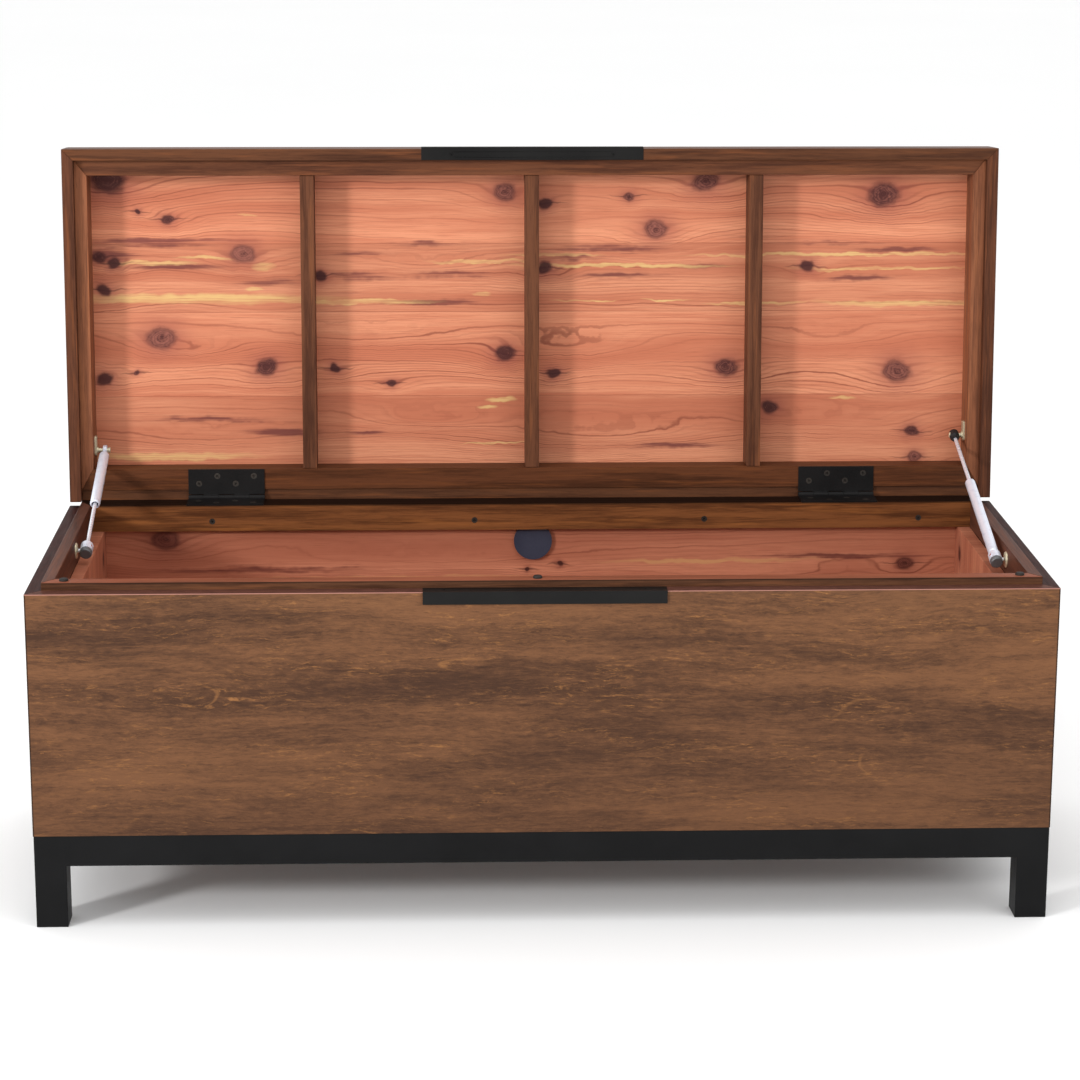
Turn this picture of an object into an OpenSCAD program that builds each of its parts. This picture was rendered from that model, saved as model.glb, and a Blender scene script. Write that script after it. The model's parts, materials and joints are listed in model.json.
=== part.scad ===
// Cedar-lined storage chest on a square-tube base, with a hinged lid held by two telescopic stays.
// Origin: centre of the footprint on the floor. +X is to the right, +Y to the back, +Z up.
// The lid is drawn closed and is then turned open about the hinge axis.

/* [Case] */
// Outer width of the case
case_w = 1220; // [1000:10:1400]
// Outer depth of the case
case_d = 465; // [400:5:520]
// Height of the outer panels
case_h = 298; // [220:1:400]
// Thickness of the outer panels
panel_t = 18; // [15:0.5:22]
// Thickness of the bottom panel
bottom_t = 12; // [9:1:18]

/* [Base] */
// Side of the square steel tube
tube_w = 38; // [25:1:50]
// Wall of the square steel tube
tube_wall = 2; // [1.5:0.5:3]
// Height of the legs
base_h = 115; // [80:1:180]
// Distance of the base frame inside the outline of the case
base_inset = 0.5; // [0:0.5:5]

/* [Rim] */
// How far the rim rails stand above the outer panels
rim_rise = 9.5; // [6:0.5:15]
// Height of the rim rails
rim_h = 35; // [25:1:60]
// Thickness of the front rim rail
rim_front_t = 19; // [15:1:25]
// Thickness of the rear rim rail
rim_rear_t = 26; // [20:1:30]
// Thickness of the side rim rails
rim_side_t = 15; // [12:1:25]

/* [Lining] */
// Thickness of the front and rear cedar linings
lining_t = 10; // [6:1:14]
// Thickness of the side cedar linings
lining_side_t = 16; // [8:1:20]
// Thickness of the cedar floor
floor_t = 6; // [4:1:10]
// Diameter of the disc on the rear lining
disc_d = 50; // [30:1:70]

/* [Lid] */
// Angle between the closed lid and the open lid
open_angle = 94; // [91:1:100]
// Distance of the lid's edges inside the outline of the case
lid_reveal = 2.5; // [1:0.5:4]
// Gap between the edge boards of the closed lid and the case
lid_gap = 1.5; // [1:0.1:3]
// Thickness of the lid's edge boards
board_t = 14.5; // [12:0.5:18]
// Width of the lid's front inner strip
strip_front_w = 20; // [15:1:30]
// Width of the lid's side inner strips
strip_side_w = 16; // [12:1:30]
// Width of the three dividers
divider_w = 18; // [12:1:24]
// Depth of the four bays, from the inner strips to the cedar panel
bay_depth = 46; // [30:1:60]
// Thickness of the lid's cedar panel
lid_cedar_t = 6; // [4:1:10]
// Thickness of the lid's top panel
lid_top_t = 9; // [6:1:18]

/* [Hinges] */
// Length of each hinge
hinge_l = 100; // [70:1:120]
// Distance of the hinge centres from the middle
hinge_x = 403; // [300:1:480]
// Width of a hinge leaf, from the pin's centre
leaf_w = 37.5; // [30:0.5:45]
// Thickness of a hinge leaf
leaf_t = 2.5; // [2:0.5:3]
// Radius of the hinge barrel
barrel_r = 3.75; // [3.5:0.25:4]
// Radius of the hinge pin
pin_r = 2.5; // [2:0.1:2.5]

/* [Pulls] */
// Length of the two pulls
pull_l = 288; // [200:1:400]
// Height of a pull's flange on the front face
pull_h = 15; // [10:1:25]
// Thickness of a pull's front flange
pull_t = 2.5; // [2:0.5:4]

/* [Stays] */
// Radius of the stays' cylinders
stay_r = 6.5; // [6:0.5:8]
// Radius of the stays' rods
rod_r = 2.5; // [2.5:0.5:4]
// Distance of the left stay's lid pivot from the hinge axis
stay_left_reach = 60; // [55:1:70]
// Distance of the right stay's lid pivot from the hinge axis
stay_right_reach = 75; // [70:1:85]
// Place of the left stay's foot, from the middle of the case to the back
stay_left_foot_y = 10; // [0:1:20]
// Place of the right stay's foot, from the middle of the case to the back
stay_right_foot_y = -64; // [-74:1:-54]
// Length of the left stay's cylinder
stay_left_tube_l = 132; // [120:1:133]
// Length of the right stay's cylinder
stay_right_tube_l = 188; // [170:1:190]

/* [Hidden] */
$fn = 48;
case_z = base_h;                       // underside of the case
top_z = case_z + case_h;               // top edge of the outer panels
rim_z = top_z + rim_rise;              // top of the rim rails
rim_low_z = rim_z - rim_h;             // underside of the rim rails
floor_z = case_z + bottom_t;           // top of the bottom panel
lining_z = floor_z + floor_t;          // top of the cedar floor
lining_h = rim_low_z - lining_z;
in_x = case_w / 2 - panel_t;           // inner faces of the side panels
in_y = case_d / 2 - panel_t;           // inner faces of the front and rear panels
rim_x = in_x - rim_side_t;             // inner faces of the side rim rails
rim_front_y = -in_y + rim_front_t;     // inner face of the front rim rail
rim_rear_y = in_y - rim_rear_t;        // inner face of the rear rim rail

leaf_proud = 1.5;                      // how far a leaf stands above its wood
leaf_gap = 0.4;                        // gap between the leaves of a closed hinge
leaf_sink = leaf_t - leaf_proud;       // depth of a leaf's recess
strip_lift = leaf_proud + leaf_gap / 2; // from the axis to the lid's inner strips
axis_y = rim_rear_y + leaf_w;          // hinge axis
axis_z = rim_z + strip_lift;
knuckles = 5;
knuckle_gap = 0.3;                     // gap between two knuckles
barrel_clear = 0.55;                   // gap between a barrel and the other leaf
rim_lap_y = axis_y - barrel_r - 0.5;   // how far back the rear rail laps over its panel
pin_clear = 0.05;                      // running clearance round the pin

lid_w = case_w - 2 * lid_reveal;
lid_front_y = -case_d / 2 + lid_reveal;
lid_rear_y = case_d / 2 - lid_reveal;
lid_low_z = top_z + lid_gap;           // underside of the edge boards
strip_z = axis_z + strip_lift;         // underside of the inner strips
cedar_z = strip_z + bay_depth;         // face of the lid's cedar panel
lid_top_z = cedar_z + lid_cedar_t;     // underside of the top panel
board_in_x = lid_w / 2 - board_t;      // inner faces of the side boards
board_in_front = lid_front_y + board_t;
board_in_rear = lid_rear_y - board_t;
strip_x = board_in_x - strip_side_w;   // inner faces of the side strips
strip_front_y = board_in_front + strip_front_w;
strip_rear_y = axis_y - leaf_w;
rear_board_lift = 3;                   // lets the rear board pass over the barrels
divider_set = 2;                       // dividers start this far behind the strips

flange_t = 2;                          // a pull's flange on an edge
flange_proud = 0.5;                    // how far that flange stands out of its edge

screw_clear = 0.05;                    // gap round a screw in its hole
screw_l = 16;
leaf_screw_r = 2;
leaf_screw_head_r = 4;
pull_screw_r = 1.75;
pull_screw_head_r = 3.4;
leaf_screw_x = [-36, -12, 12, 36];     // hinge screws along a leaf
leaf_screw_near = 18.5;                // from the pin to the near row of screws
leaf_screw_far = 28.5;                 // from the pin to the far row of screws
rim_screw_x = [-420, -77, 225, 508];
rim_screw_z = rim_low_z + 13;
rim_screw_short = 2;                   // wood left past the point of a rim screw
case_pull_screw_x = [-119, 119];
lid_pull_screw_x = [-105, 105];
bumper_x = [-566, -8, 566];
bumper_d = 11;
bumper_h = 3;

stay_x = 564;                          // plane of the stays
bracket_t = 2.5;                       // thickness of a stay's bracket
bracket_face = rim_x - bracket_t;      // inner face of a bracket
stay_foot_z = top_z - 7;               // height of the case brackets
stay_depth = 25;                       // lid pivots, behind the inner strips
stay_pin_r = 3;
stud_gap = 0.3;                        // the foot's stud stays clear of its bracket
foot_low = 9;                          // foot fitting below its stud
foot_high = 14;                        // foot fitting above its stud
foot_r = 8;
head_off = 12;                         // from the lid pivot to the rod or cylinder
rod_clear = 0.3;
rod_stay_in = 18;                      // rod left in the cylinder when extended
tube_end = 5;                          // solid end of a cylinder

// ---- shared shapes ----------------------------------------------------------

// Upright prism over an outline in plan
module prism(outline, z, h) {
    translate([0, 0, z]) linear_extrude(h) polygon(outline);
}

// Block between two opposite corners
module block(low, high) {
    translate(low) cube(high - low);
}

// Board along X with mitred ends; near is the long edge, far the short one
module mitred_x(near_x, near_y, far_x, far_y, z, h) {
    prism([[-near_x, near_y], [near_x, near_y], [far_x, far_y], [-far_x, far_y]], z, h);
}

// Board along Y with mitred ends, on the side given by -1 or 1
module mitred_y(side, out_x, in_x, out_front, in_front, out_rear, in_rear, z, h) {
    prism([[side * out_x, out_front], [side * in_x, in_front],
           [side * in_x, in_rear], [side * out_x, out_rear]], z, h);
}

// Turns what was drawn on the closed lid to the open position
module open_lid() {
    translate([0, axis_y, axis_z]) rotate([-open_angle, 0, 0])
        translate([0, -axis_y, -axis_z]) children();
}

// Countersunk screw, its head flush with z = 0 and its shank pointing down
module screw(head_r, shank_r, length, clear = 0) {
    head_h = head_r - shank_r;
    translate([0, 0, -head_h]) cylinder(h = head_h + clear, r1 = shank_r + clear, r2 = head_r + clear);
    translate([0, 0, -length - clear]) cylinder(h = length, r = shank_r + clear);
}

module leaf_screw(clear = 0) {
    screw(leaf_screw_head_r, leaf_screw_r, screw_l, clear);
}

module pull_screw(clear = 0) {
    screw(pull_screw_head_r, pull_screw_r, screw_l, clear);
}

// Runs through the rear rim rail and stops just short of the rear panel
module rim_screw(clear = 0) {
    screw(leaf_screw_head_r, leaf_screw_r, rim_rear_t - rim_screw_short, clear);
}

// ---- base -------------------------------------------------------------------

leg_x = case_w / 2 - base_inset;
leg_y = case_d / 2 - base_inset;
bore_w = tube_w - 2 * tube_wall;

module leg(side_x, side_y) {
    color("#222224") translate([side_x * (leg_x - tube_w / 2), side_y * (leg_y - tube_w / 2), 0])
        difference() {
            translate([-tube_w / 2, -tube_w / 2, 0]) cube([tube_w, tube_w, base_h]);
            translate([-bore_w / 2, -bore_w / 2, -1]) cube([bore_w, bore_w, base_h - tube_wall + 1]);
        }
}

// Square tube along X between two legs
module rail_x(side_y) {
    half = leg_x - tube_w;
    mid_z = base_h - tube_w / 2;
    color("#222224") translate([0, side_y * (leg_y - tube_w / 2), mid_z]) difference() {
        cube([2 * half, tube_w, tube_w], center = true);
        cube([2 * half + 2, bore_w, bore_w], center = true);
    }
}

// Square tube along Y between two legs
module rail_y(side_x) {
    half = leg_y - tube_w;
    mid_z = base_h - tube_w / 2;
    color("#222224") translate([side_x * (leg_x - tube_w / 2), 0, mid_z]) difference() {
        cube([tube_w, 2 * half, tube_w], center = true);
        cube([bore_w, 2 * half + 2, bore_w], center = true);
    }
}

module foot_caps() {
    cap_h = 14;
    color("#1a1a1a") for (sx = [-1, 1], sy = [-1, 1])
        translate([sx * (leg_x - tube_w / 2), sy * (leg_y - tube_w / 2), cap_h / 2])
            cube([bore_w, bore_w, cap_h], center = true);
}

// ---- case -------------------------------------------------------------------

walnut = "#6b4832";

module front_panel() {
    color(walnut) difference() {
        mitred_x(case_w / 2, -case_d / 2, in_x, -in_y, case_z, case_h);
        // seat of the pull's flange
        block([-pull_l / 2, -case_d / 2 - 1, top_z - flange_t + flange_proud],
              [pull_l / 2, -in_y + 1, top_z + 1]);
        case_pull_screws_at() pull_screw(screw_clear);
    }
}

module rear_panel() {
    color(walnut) mitred_x(case_w / 2, case_d / 2, in_x, in_y, case_z, case_h);
}

module side_panel(side) {
    color(walnut) mitred_y(side, case_w / 2, in_x, -case_d / 2, -in_y, case_d / 2, in_y, case_z, case_h);
}

module bottom_panel() {
    color("#7a5a40") block([-in_x, -in_y, case_z], [in_x, in_y, floor_z]);
}

module rim_rail_front() {
    color("#6e4128") mitred_x(in_x, -in_y, rim_x, rim_front_y, rim_low_z, rim_h);
}

module rim_rail_rear() {
    color("#6e4128") difference() {
        union() {
            mitred_x(in_x, in_y, rim_x, rim_rear_y, rim_low_z, rim_h);
            // lap over the rear panel's top edge
            block([-in_x, in_y - 1, top_z], [in_x, rim_lap_y, rim_z]);
        }
        for (side = [-1, 1])
            block([side * hinge_x - hinge_l / 2, rim_rear_y - 1, rim_z - leaf_sink],
                  [side * hinge_x + hinge_l / 2, rim_lap_y + 1, rim_z + 1]);
        case_leaf_screws_at() leaf_screw(screw_clear);
        rim_screws_at() rim_screw(screw_clear);
    }
}

module rim_rail_side(side) {
    color("#6e4128")
        mitred_y(side, in_x, rim_x, -in_y, rim_front_y, in_y, rim_rear_y, rim_low_z, rim_h);
}

module rim_screws_at() {
    for (x = rim_screw_x)
        translate([x, rim_rear_y, rim_screw_z]) rotate([90, 0, 0]) children();
}

module rim_screws() {
    color("#2a2320") rim_screws_at() rim_screw();
}

// ---- lining -----------------------------------------------------------------

cedar = "#a85f40";
lining_y = in_y - lining_t;            // face of the front and rear linings
lining_x = rim_x - lining_side_t;      // face of the side linings

module lining_battens() {
    batten_w = 30;
    end_y = lining_y - 33;             // middle of the end battens
    color("#b08d62") for (side = [-1, 1], y = [-end_y, 0, end_y])
        translate([side * (in_x - rim_side_t / 2), y, lining_z + lining_h / 2])
            cube([rim_side_t, batten_w, lining_h], center = true);
}

module cedar_lining_front() {
    color(cedar) block([-in_x, -in_y, lining_z], [in_x, -lining_y, rim_low_z]);
}

disc_z = rim_low_z - 18.5;             // centre of the disc
disc_t = 5;
disc_boss_r = 16;

module cedar_lining_rear() {
    color(cedar) difference() {
        block([-in_x, lining_y, lining_z], [in_x, in_y, rim_low_z]);
        translate([0, lining_y - 1, disc_z]) rotate([-90, 0, 0])
            cylinder(h = lining_t + 2, r = disc_boss_r + screw_clear);
    }
}

module cedar_lining_side(side) {
    color(cedar) translate([side * (rim_x - lining_side_t / 2), 0, lining_z + lining_h / 2])
        cube([lining_side_t, 2 * lining_y, lining_h], center = true);
}

module cedar_floor() {
    color(cedar) block([-in_x, -in_y, floor_z], [in_x, in_y, lining_z]);
}

// Flat disc with a plug behind it; its top is cut off along the rear rim rail
module lining_disc() {
    color("#3a3c46") difference() {
        union() {
            translate([0, lining_y - disc_t, disc_z]) rotate([-90, 0, 0])
                cylinder(h = disc_t, d = disc_d);
            translate([0, lining_y - disc_t, disc_z]) rotate([-90, 0, 0])
                cylinder(h = disc_t + lining_t, r = disc_boss_r);
        }
        block([-disc_d, lining_y - disc_t - 1, rim_low_z], [disc_d, in_y + 1, rim_low_z + disc_d]);
    }
}

// ---- pulls and bumpers ------------------------------------------------------

module case_pull_screws_at() {
    for (x = case_pull_screw_x)
        translate([x, -case_d / 2 + panel_t / 2, top_z + flange_proud]) children();
}

module case_pull() {
    color("#1c1c1e") difference() {
        union() {
            block([-pull_l / 2, -case_d / 2 - pull_t, top_z - pull_h],
                  [pull_l / 2, -case_d / 2, top_z + flange_proud]);
            block([-pull_l / 2, -case_d / 2 - pull_t, top_z - flange_t + flange_proud],
                  [pull_l / 2, -in_y, top_z + flange_proud]);
        }
        case_pull_screws_at() pull_screw(screw_clear);
    }
}

module case_pull_screws() {
    color("#1c1c1e") case_pull_screws_at() pull_screw();
}

module lid_pull_screws_at() {
    for (x = lid_pull_screw_x)
        translate([x, lid_front_y + board_t / 2, lid_low_z - flange_proud])
            rotate([180, 0, 0]) children();
}

module lid_pull() {
    color("#1c1c1e") open_lid() difference() {
        union() {
            block([-pull_l / 2, lid_front_y - pull_t, lid_low_z - flange_proud],
                  [pull_l / 2, lid_front_y, lid_low_z + pull_h]);
            block([-pull_l / 2, lid_front_y - pull_t, lid_low_z - flange_proud],
                  [pull_l / 2, board_in_front, lid_low_z + flange_t - flange_proud]);
        }
        lid_pull_screws_at() pull_screw(screw_clear);
    }
}

module lid_pull_screws() {
    color("#1c1c1e") open_lid() lid_pull_screws_at() pull_screw();
}

module rim_bumpers() {
    color("#1e1a18") for (x = bumper_x)
        translate([x, -in_y + rim_front_t / 2, rim_z]) cylinder(h = bumper_h, d = bumper_d);
}

// ---- hinges -----------------------------------------------------------------

knuckle_l = hinge_l / knuckles;

// One leaf with its knuckles, round the axis at the origin; the plate reaches to -Y.
// first is 0 or 1: the leaf has every second knuckle from there.
module leaf(first, plate_z, bore_r) {
    barrel_free = barrel_r + barrel_clear;
    difference() {
        union() {
            block([-hinge_l / 2, -leaf_w, plate_z], [hinge_l / 2, -barrel_free, plate_z + leaf_t]);
            for (i = [first : 2 : knuckles - 1]) {
                x = -hinge_l / 2 + i * knuckle_l + knuckle_gap / 2;
                block([x, -barrel_free - 1, plate_z], [x + knuckle_l - knuckle_gap, 0, plate_z + leaf_t]);
                translate([x, 0, 0]) rotate([0, 90, 0]) cylinder(h = knuckle_l - knuckle_gap, r = barrel_r);
            }
        }
        translate([-hinge_l / 2 - 1, 0, 0]) rotate([0, 90, 0]) cylinder(h = hinge_l + 2, r = bore_r);
    }
}

// Places of a leaf's four screws, in zigzag; up is 1 on the case leaf and -1 on the lid leaf
module leaf_screws_at(up) {
    for (i = [0 : len(leaf_screw_x) - 1])
        translate([leaf_screw_x[i], i % 2 == 0 ? -leaf_screw_near : -leaf_screw_far, -up * leaf_gap / 2])
            rotate([up > 0 ? 0 : 180, 0, 0]) children();
}

module case_leaf_screws_at() {
    for (side = [-1, 1])
        translate([side * hinge_x, axis_y, axis_z]) leaf_screws_at(1) children();
}

module lid_leaf_screws_at() {
    for (side = [-1, 1])
        translate([side * hinge_x, axis_y, axis_z]) leaf_screws_at(-1) children();
}

module hinge_case_leaf(side) {
    color("#202022") difference() {
        translate([side * hinge_x, axis_y, axis_z]) leaf(0, -leaf_gap / 2 - leaf_t, pin_r + pin_clear / 2);
        case_leaf_screws_at() leaf_screw(screw_clear);
    }
}

module hinge_lid_leaf(side) {
    color("#202022") open_lid() difference() {
        translate([side * hinge_x, axis_y, axis_z]) leaf(1, leaf_gap / 2, pin_r + pin_clear);
        lid_leaf_screws_at() leaf_screw(screw_clear);
    }
}

module hinge_pins() {
    color("#2c2c2e") for (side = [-1, 1])
        translate([side * hinge_x - hinge_l / 2, axis_y, axis_z]) rotate([0, 90, 0])
            cylinder(h = hinge_l, r = pin_r);
}

module hinge_case_screws() {
    color("#202022") case_leaf_screws_at() leaf_screw();
}

module hinge_lid_screws() {
    color("#202022") open_lid() lid_leaf_screws_at() leaf_screw();
}

// ---- lid --------------------------------------------------------------------

module lid_top_panel() {
    color(walnut) open_lid()
        block([-lid_w / 2, lid_front_y, lid_top_z], [lid_w / 2, lid_rear_y, lid_top_z + lid_top_t]);
}

module lid_board_front() {
    color("#6e4128") open_lid() difference() {
        mitred_x(lid_w / 2, lid_front_y, board_in_x, board_in_front, lid_low_z, lid_top_z - lid_low_z);
        // seat of the pull's flange
        block([-pull_l / 2, lid_front_y - 1, lid_low_z - 1],
              [pull_l / 2, board_in_front + 1, lid_low_z + flange_t - flange_proud]);
        lid_pull_screws_at() pull_screw(screw_clear);
    }
}

module lid_board_rear() {
    color("#6e4128") open_lid()
        block([-board_in_x, board_in_rear, strip_z + rear_board_lift], [board_in_x, lid_rear_y, lid_top_z]);
}

// Mitred at the front corner and square at the back
module lid_board_side(side) {
    color("#6e4128") open_lid()
        mitred_y(side, lid_w / 2, board_in_x, lid_front_y, board_in_front, lid_rear_y, lid_rear_y,
                 lid_low_z, lid_top_z - lid_low_z);
}

module lid_strip_front() {
    color("#70452c") open_lid()
        mitred_x(board_in_x, board_in_front, strip_x, strip_front_y, strip_z, bay_depth);
}

module lid_strip_rear() {
    color("#70452c") open_lid() difference() {
        mitred_x(board_in_x, board_in_rear, strip_x, strip_rear_y, strip_z, bay_depth);
        for (side = [-1, 1])
            block([side * hinge_x - hinge_l / 2, strip_rear_y - 1, strip_z - 1],
                  [side * hinge_x + hinge_l / 2, board_in_rear + 1, strip_z + leaf_sink]);
        lid_leaf_screws_at() leaf_screw(screw_clear);
    }
}

module lid_strip_side(side) {
    color("#70452c") open_lid()
        mitred_y(side, board_in_x, strip_x, board_in_front, strip_front_y, board_in_rear, strip_rear_y,
                 strip_z, bay_depth);
}

// Three dividers make four equal bays; place is -1, 0 or 1
module lid_divider(place) {
    pitch = (2 * strip_x + divider_w) / 4;
    color("#70452c") open_lid() translate([place * pitch, 0, 0])
        block([-divider_w / 2, strip_front_y, strip_z + divider_set], [divider_w / 2, strip_rear_y, cedar_z]);
}

module lid_cedar_panel() {
    color("#d07e5a") open_lid()
        block([-board_in_x, board_in_front, cedar_z], [board_in_x, board_in_rear, lid_top_z]);
}

// ---- stays ------------------------------------------------------------------

// A lid pivot, [y, z], with the lid open
function lid_pivot(reach) =
    let (y = -reach, z = strip_lift + stay_depth)
    [axis_y + y * cos(open_angle) + z * sin(open_angle),
     axis_z - y * sin(open_angle) + z * cos(open_angle)];

// Slope and length of a stay with the lid open
function stay_slope(foot_y, reach) =
    atan2(lid_pivot(reach)[1] - stay_foot_z, lid_pivot(reach)[0] - foot_y);
function stay_length(foot_y, reach) = norm(lid_pivot(reach) - [foot_y, stay_foot_z]);

left_l = stay_length(stay_left_foot_y, stay_left_reach);
right_l = stay_length(stay_right_foot_y, stay_right_reach);

// Puts a stay that was drawn up along Z, from its foot at the origin, in its place
module place_stay(side) {
    foot_y = side < 0 ? stay_left_foot_y : stay_right_foot_y;
    reach = side < 0 ? stay_left_reach : stay_right_reach;
    translate([side * stay_x, foot_y, stay_foot_z])
        rotate([stay_slope(foot_y, reach) - 90, 0, 0]) children();
}

module cross_pin(r, from_x, to_x) {
    translate([min(from_x, to_x), 0, 0]) rotate([0, 90, 0]) cylinder(h = abs(to_x - from_x), r = r);
}

module stay_case_brackets() {
    flange_r = 10;
    color("#c9b27a") for (side = [-1, 1])
        translate([side * rim_x, side < 0 ? stay_left_foot_y : stay_right_foot_y, stay_foot_z])
            cross_pin(flange_r, 0, -side * bracket_t);
}

// Plate on the lid's side strip, with the pin that carries the stay
module stay_lid_brackets() {
    plate_w = 12;
    plate_front = 19;                  // plate in front of its pin
    plate_back = 7;
    pin_tip = stay_x - 7;
    color("#c9b27a") open_lid() for (side = [-1, 1])
        translate([0, axis_y - (side < 0 ? stay_left_reach : stay_right_reach), strip_z + stay_depth]) {
            translate([min(side * rim_x, side * bracket_face), -plate_front, -plate_w / 2])
                cube([bracket_t, plate_front + plate_back, plate_w]);
            cross_pin(stay_pin_r, side * pin_tip, side * bracket_face);
        }
}

// Hollow cylinder that takes the rod, open at z = 0
module stay_tube(length) {
    difference() {
        cylinder(h = length, r = stay_r);
        translate([0, 0, -1]) cylinder(h = length - tube_end + 1, r = rod_r + rod_clear);
    }
}

// Foot fitting with its side stud, which stays a little clear of the bracket
module stay_foot(side) {
    stud_r = 2.5;
    place_stay(side) {
        color("#9a9a9c") translate([0, 0, -foot_low]) cylinder(h = foot_low + foot_high, r = foot_r);
        color("#e0e0e0")
            cross_pin(stud_r, side * (foot_r - 1), side * (bracket_face - stay_x - stud_gap));
    }
}

module stay_left_cylinder() {
    eye_w = 5;
    eye_r = 7;
    color("#d4d6da") place_stay(-1) translate([0, 0, left_l]) difference() {
        union() {
            translate([0, 0, -head_off - stay_left_tube_l]) stay_tube(stay_left_tube_l);
            translate([-eye_w / 2, -eye_r, -head_off]) cube([eye_w, 2 * eye_r, head_off]);
            cross_pin(eye_r, -eye_w / 2, eye_w / 2);
        }
        cross_pin(stay_pin_r + pin_clear, -eye_w, eye_w);
    }
}

module stay_left_rod() {
    rod_l = left_l - head_off - stay_left_tube_l + rod_stay_in - foot_high;
    color("#eceef2") place_stay(-1) translate([0, 0, foot_high]) cylinder(h = rod_l, r = rod_r);
}

module stay_right_cylinder() {
    color("#d4d6da") place_stay(1) translate([0, 0, foot_high + stay_right_tube_l])
        mirror([0, 0, 1]) stay_tube(stay_right_tube_l);
}

module stay_right_rod() {
    low = foot_high + stay_right_tube_l - rod_stay_in;
    color("#eceef2") place_stay(1) translate([0, 0, low])
        cylinder(h = right_l - head_off - low, r = rod_r);
}

module stay_right_head() {
    head_r = 6.5;
    head_tip = 7;                      // head past its pivot
    color("#26262a") place_stay(1) translate([0, 0, right_l]) difference() {
        translate([0, 0, -head_off]) cylinder(h = head_off + head_tip, r = head_r);
        cross_pin(stay_pin_r + pin_clear, -head_r - 1, head_r + 1);
    }
}

// ---- nodes ------------------------------------------------------------------

leg(-1, -1);  // leg_front_left
leg(1, -1);  // leg_front_right
leg(-1, 1);  // leg_rear_left
leg(1, 1);  // leg_rear_right
rail_x(-1);  // base_rail_front
rail_x(1);  // base_rail_rear
rail_y(-1);  // base_rail_left
rail_y(1);  // base_rail_right
foot_caps();
front_panel();
rear_panel();
side_panel(-1);  // left_panel
side_panel(1);  // right_panel
bottom_panel();
rim_rail_front();
rim_rail_rear();
rim_rail_side(-1);  // rim_rail_left
rim_rail_side(1);  // rim_rail_right
rim_screws();
lining_battens();
cedar_lining_front();
cedar_lining_rear();
cedar_lining_side(-1);  // cedar_lining_left
cedar_lining_side(1);  // cedar_lining_right
cedar_floor();
lining_disc();
case_pull();
case_pull_screws();
rim_bumpers();
hinge_case_leaf(-1);  // hinge_case_leaf_left
hinge_case_leaf(1);  // hinge_case_leaf_right
hinge_pins();
hinge_case_screws();
stay_case_brackets();
lid_top_panel();
lid_board_front();
lid_board_rear();
lid_board_side(-1);  // lid_board_left
lid_board_side(1);  // lid_board_right
lid_strip_front();
lid_strip_rear();
lid_strip_side(-1);  // lid_strip_left
lid_strip_side(1);  // lid_strip_right
lid_divider(-1);  // lid_divider_left
lid_divider(0);  // lid_divider_centre
lid_divider(1);  // lid_divider_right
lid_cedar_panel();
lid_pull();
lid_pull_screws();
hinge_lid_leaf(-1);  // hinge_lid_leaf_left
hinge_lid_leaf(1);  // hinge_lid_leaf_right
hinge_lid_screws();
stay_lid_brackets();
stay_left_cylinder();
stay_left_rod();
stay_foot(-1);  // stay_left_foot
stay_right_cylinder();
stay_right_rod();
stay_foot(1);  // stay_right_foot
stay_right_head();
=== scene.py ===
"""Looks of the cedar-lined storage chest: wood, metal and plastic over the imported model.

Everything is in metres in the model's frame: +X right, +Y back, +Z up, floor at z = 0.
The lid is stored open, so lid pieces are worked out in the closed lid's frame and turned.
"""

import json
import math

import bmesh
import bpy
from mathutils import Matrix, Vector


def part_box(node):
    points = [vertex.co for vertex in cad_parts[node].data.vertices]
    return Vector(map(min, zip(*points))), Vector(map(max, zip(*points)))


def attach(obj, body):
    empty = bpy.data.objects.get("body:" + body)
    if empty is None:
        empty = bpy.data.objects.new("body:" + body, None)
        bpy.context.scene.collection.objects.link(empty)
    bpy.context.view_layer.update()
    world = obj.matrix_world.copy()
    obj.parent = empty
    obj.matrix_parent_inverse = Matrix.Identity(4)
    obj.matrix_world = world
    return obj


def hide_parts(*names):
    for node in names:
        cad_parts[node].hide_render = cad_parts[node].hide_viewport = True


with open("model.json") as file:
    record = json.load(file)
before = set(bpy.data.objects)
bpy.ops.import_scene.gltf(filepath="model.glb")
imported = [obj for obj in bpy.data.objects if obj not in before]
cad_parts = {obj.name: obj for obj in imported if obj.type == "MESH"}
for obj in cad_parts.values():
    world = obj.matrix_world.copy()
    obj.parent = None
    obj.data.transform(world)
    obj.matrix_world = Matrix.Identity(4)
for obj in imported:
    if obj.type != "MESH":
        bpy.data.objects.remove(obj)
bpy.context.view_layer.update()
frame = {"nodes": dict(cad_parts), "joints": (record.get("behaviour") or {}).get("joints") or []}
MM = 0.001
NODES = frame["nodes"]
JOINTS = {j["name"]: j for j in frame["joints"]}

# ---- the lid's frame ----------------------------------------------------------

HINGE = Vector(JOINTS["lid_hinge"]["pos_m"])
OPEN_ANGLE = math.radians(JOINTS["lid_hinge"]["range_deg"][1])
OPEN = Matrix.Translation(HINGE) @ Matrix.Rotation(-OPEN_ANGLE, 4, "X") @ Matrix.Translation(-HINGE)
CLOSE = OPEN.inverted()
SAME = Matrix.Identity(4)


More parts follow.
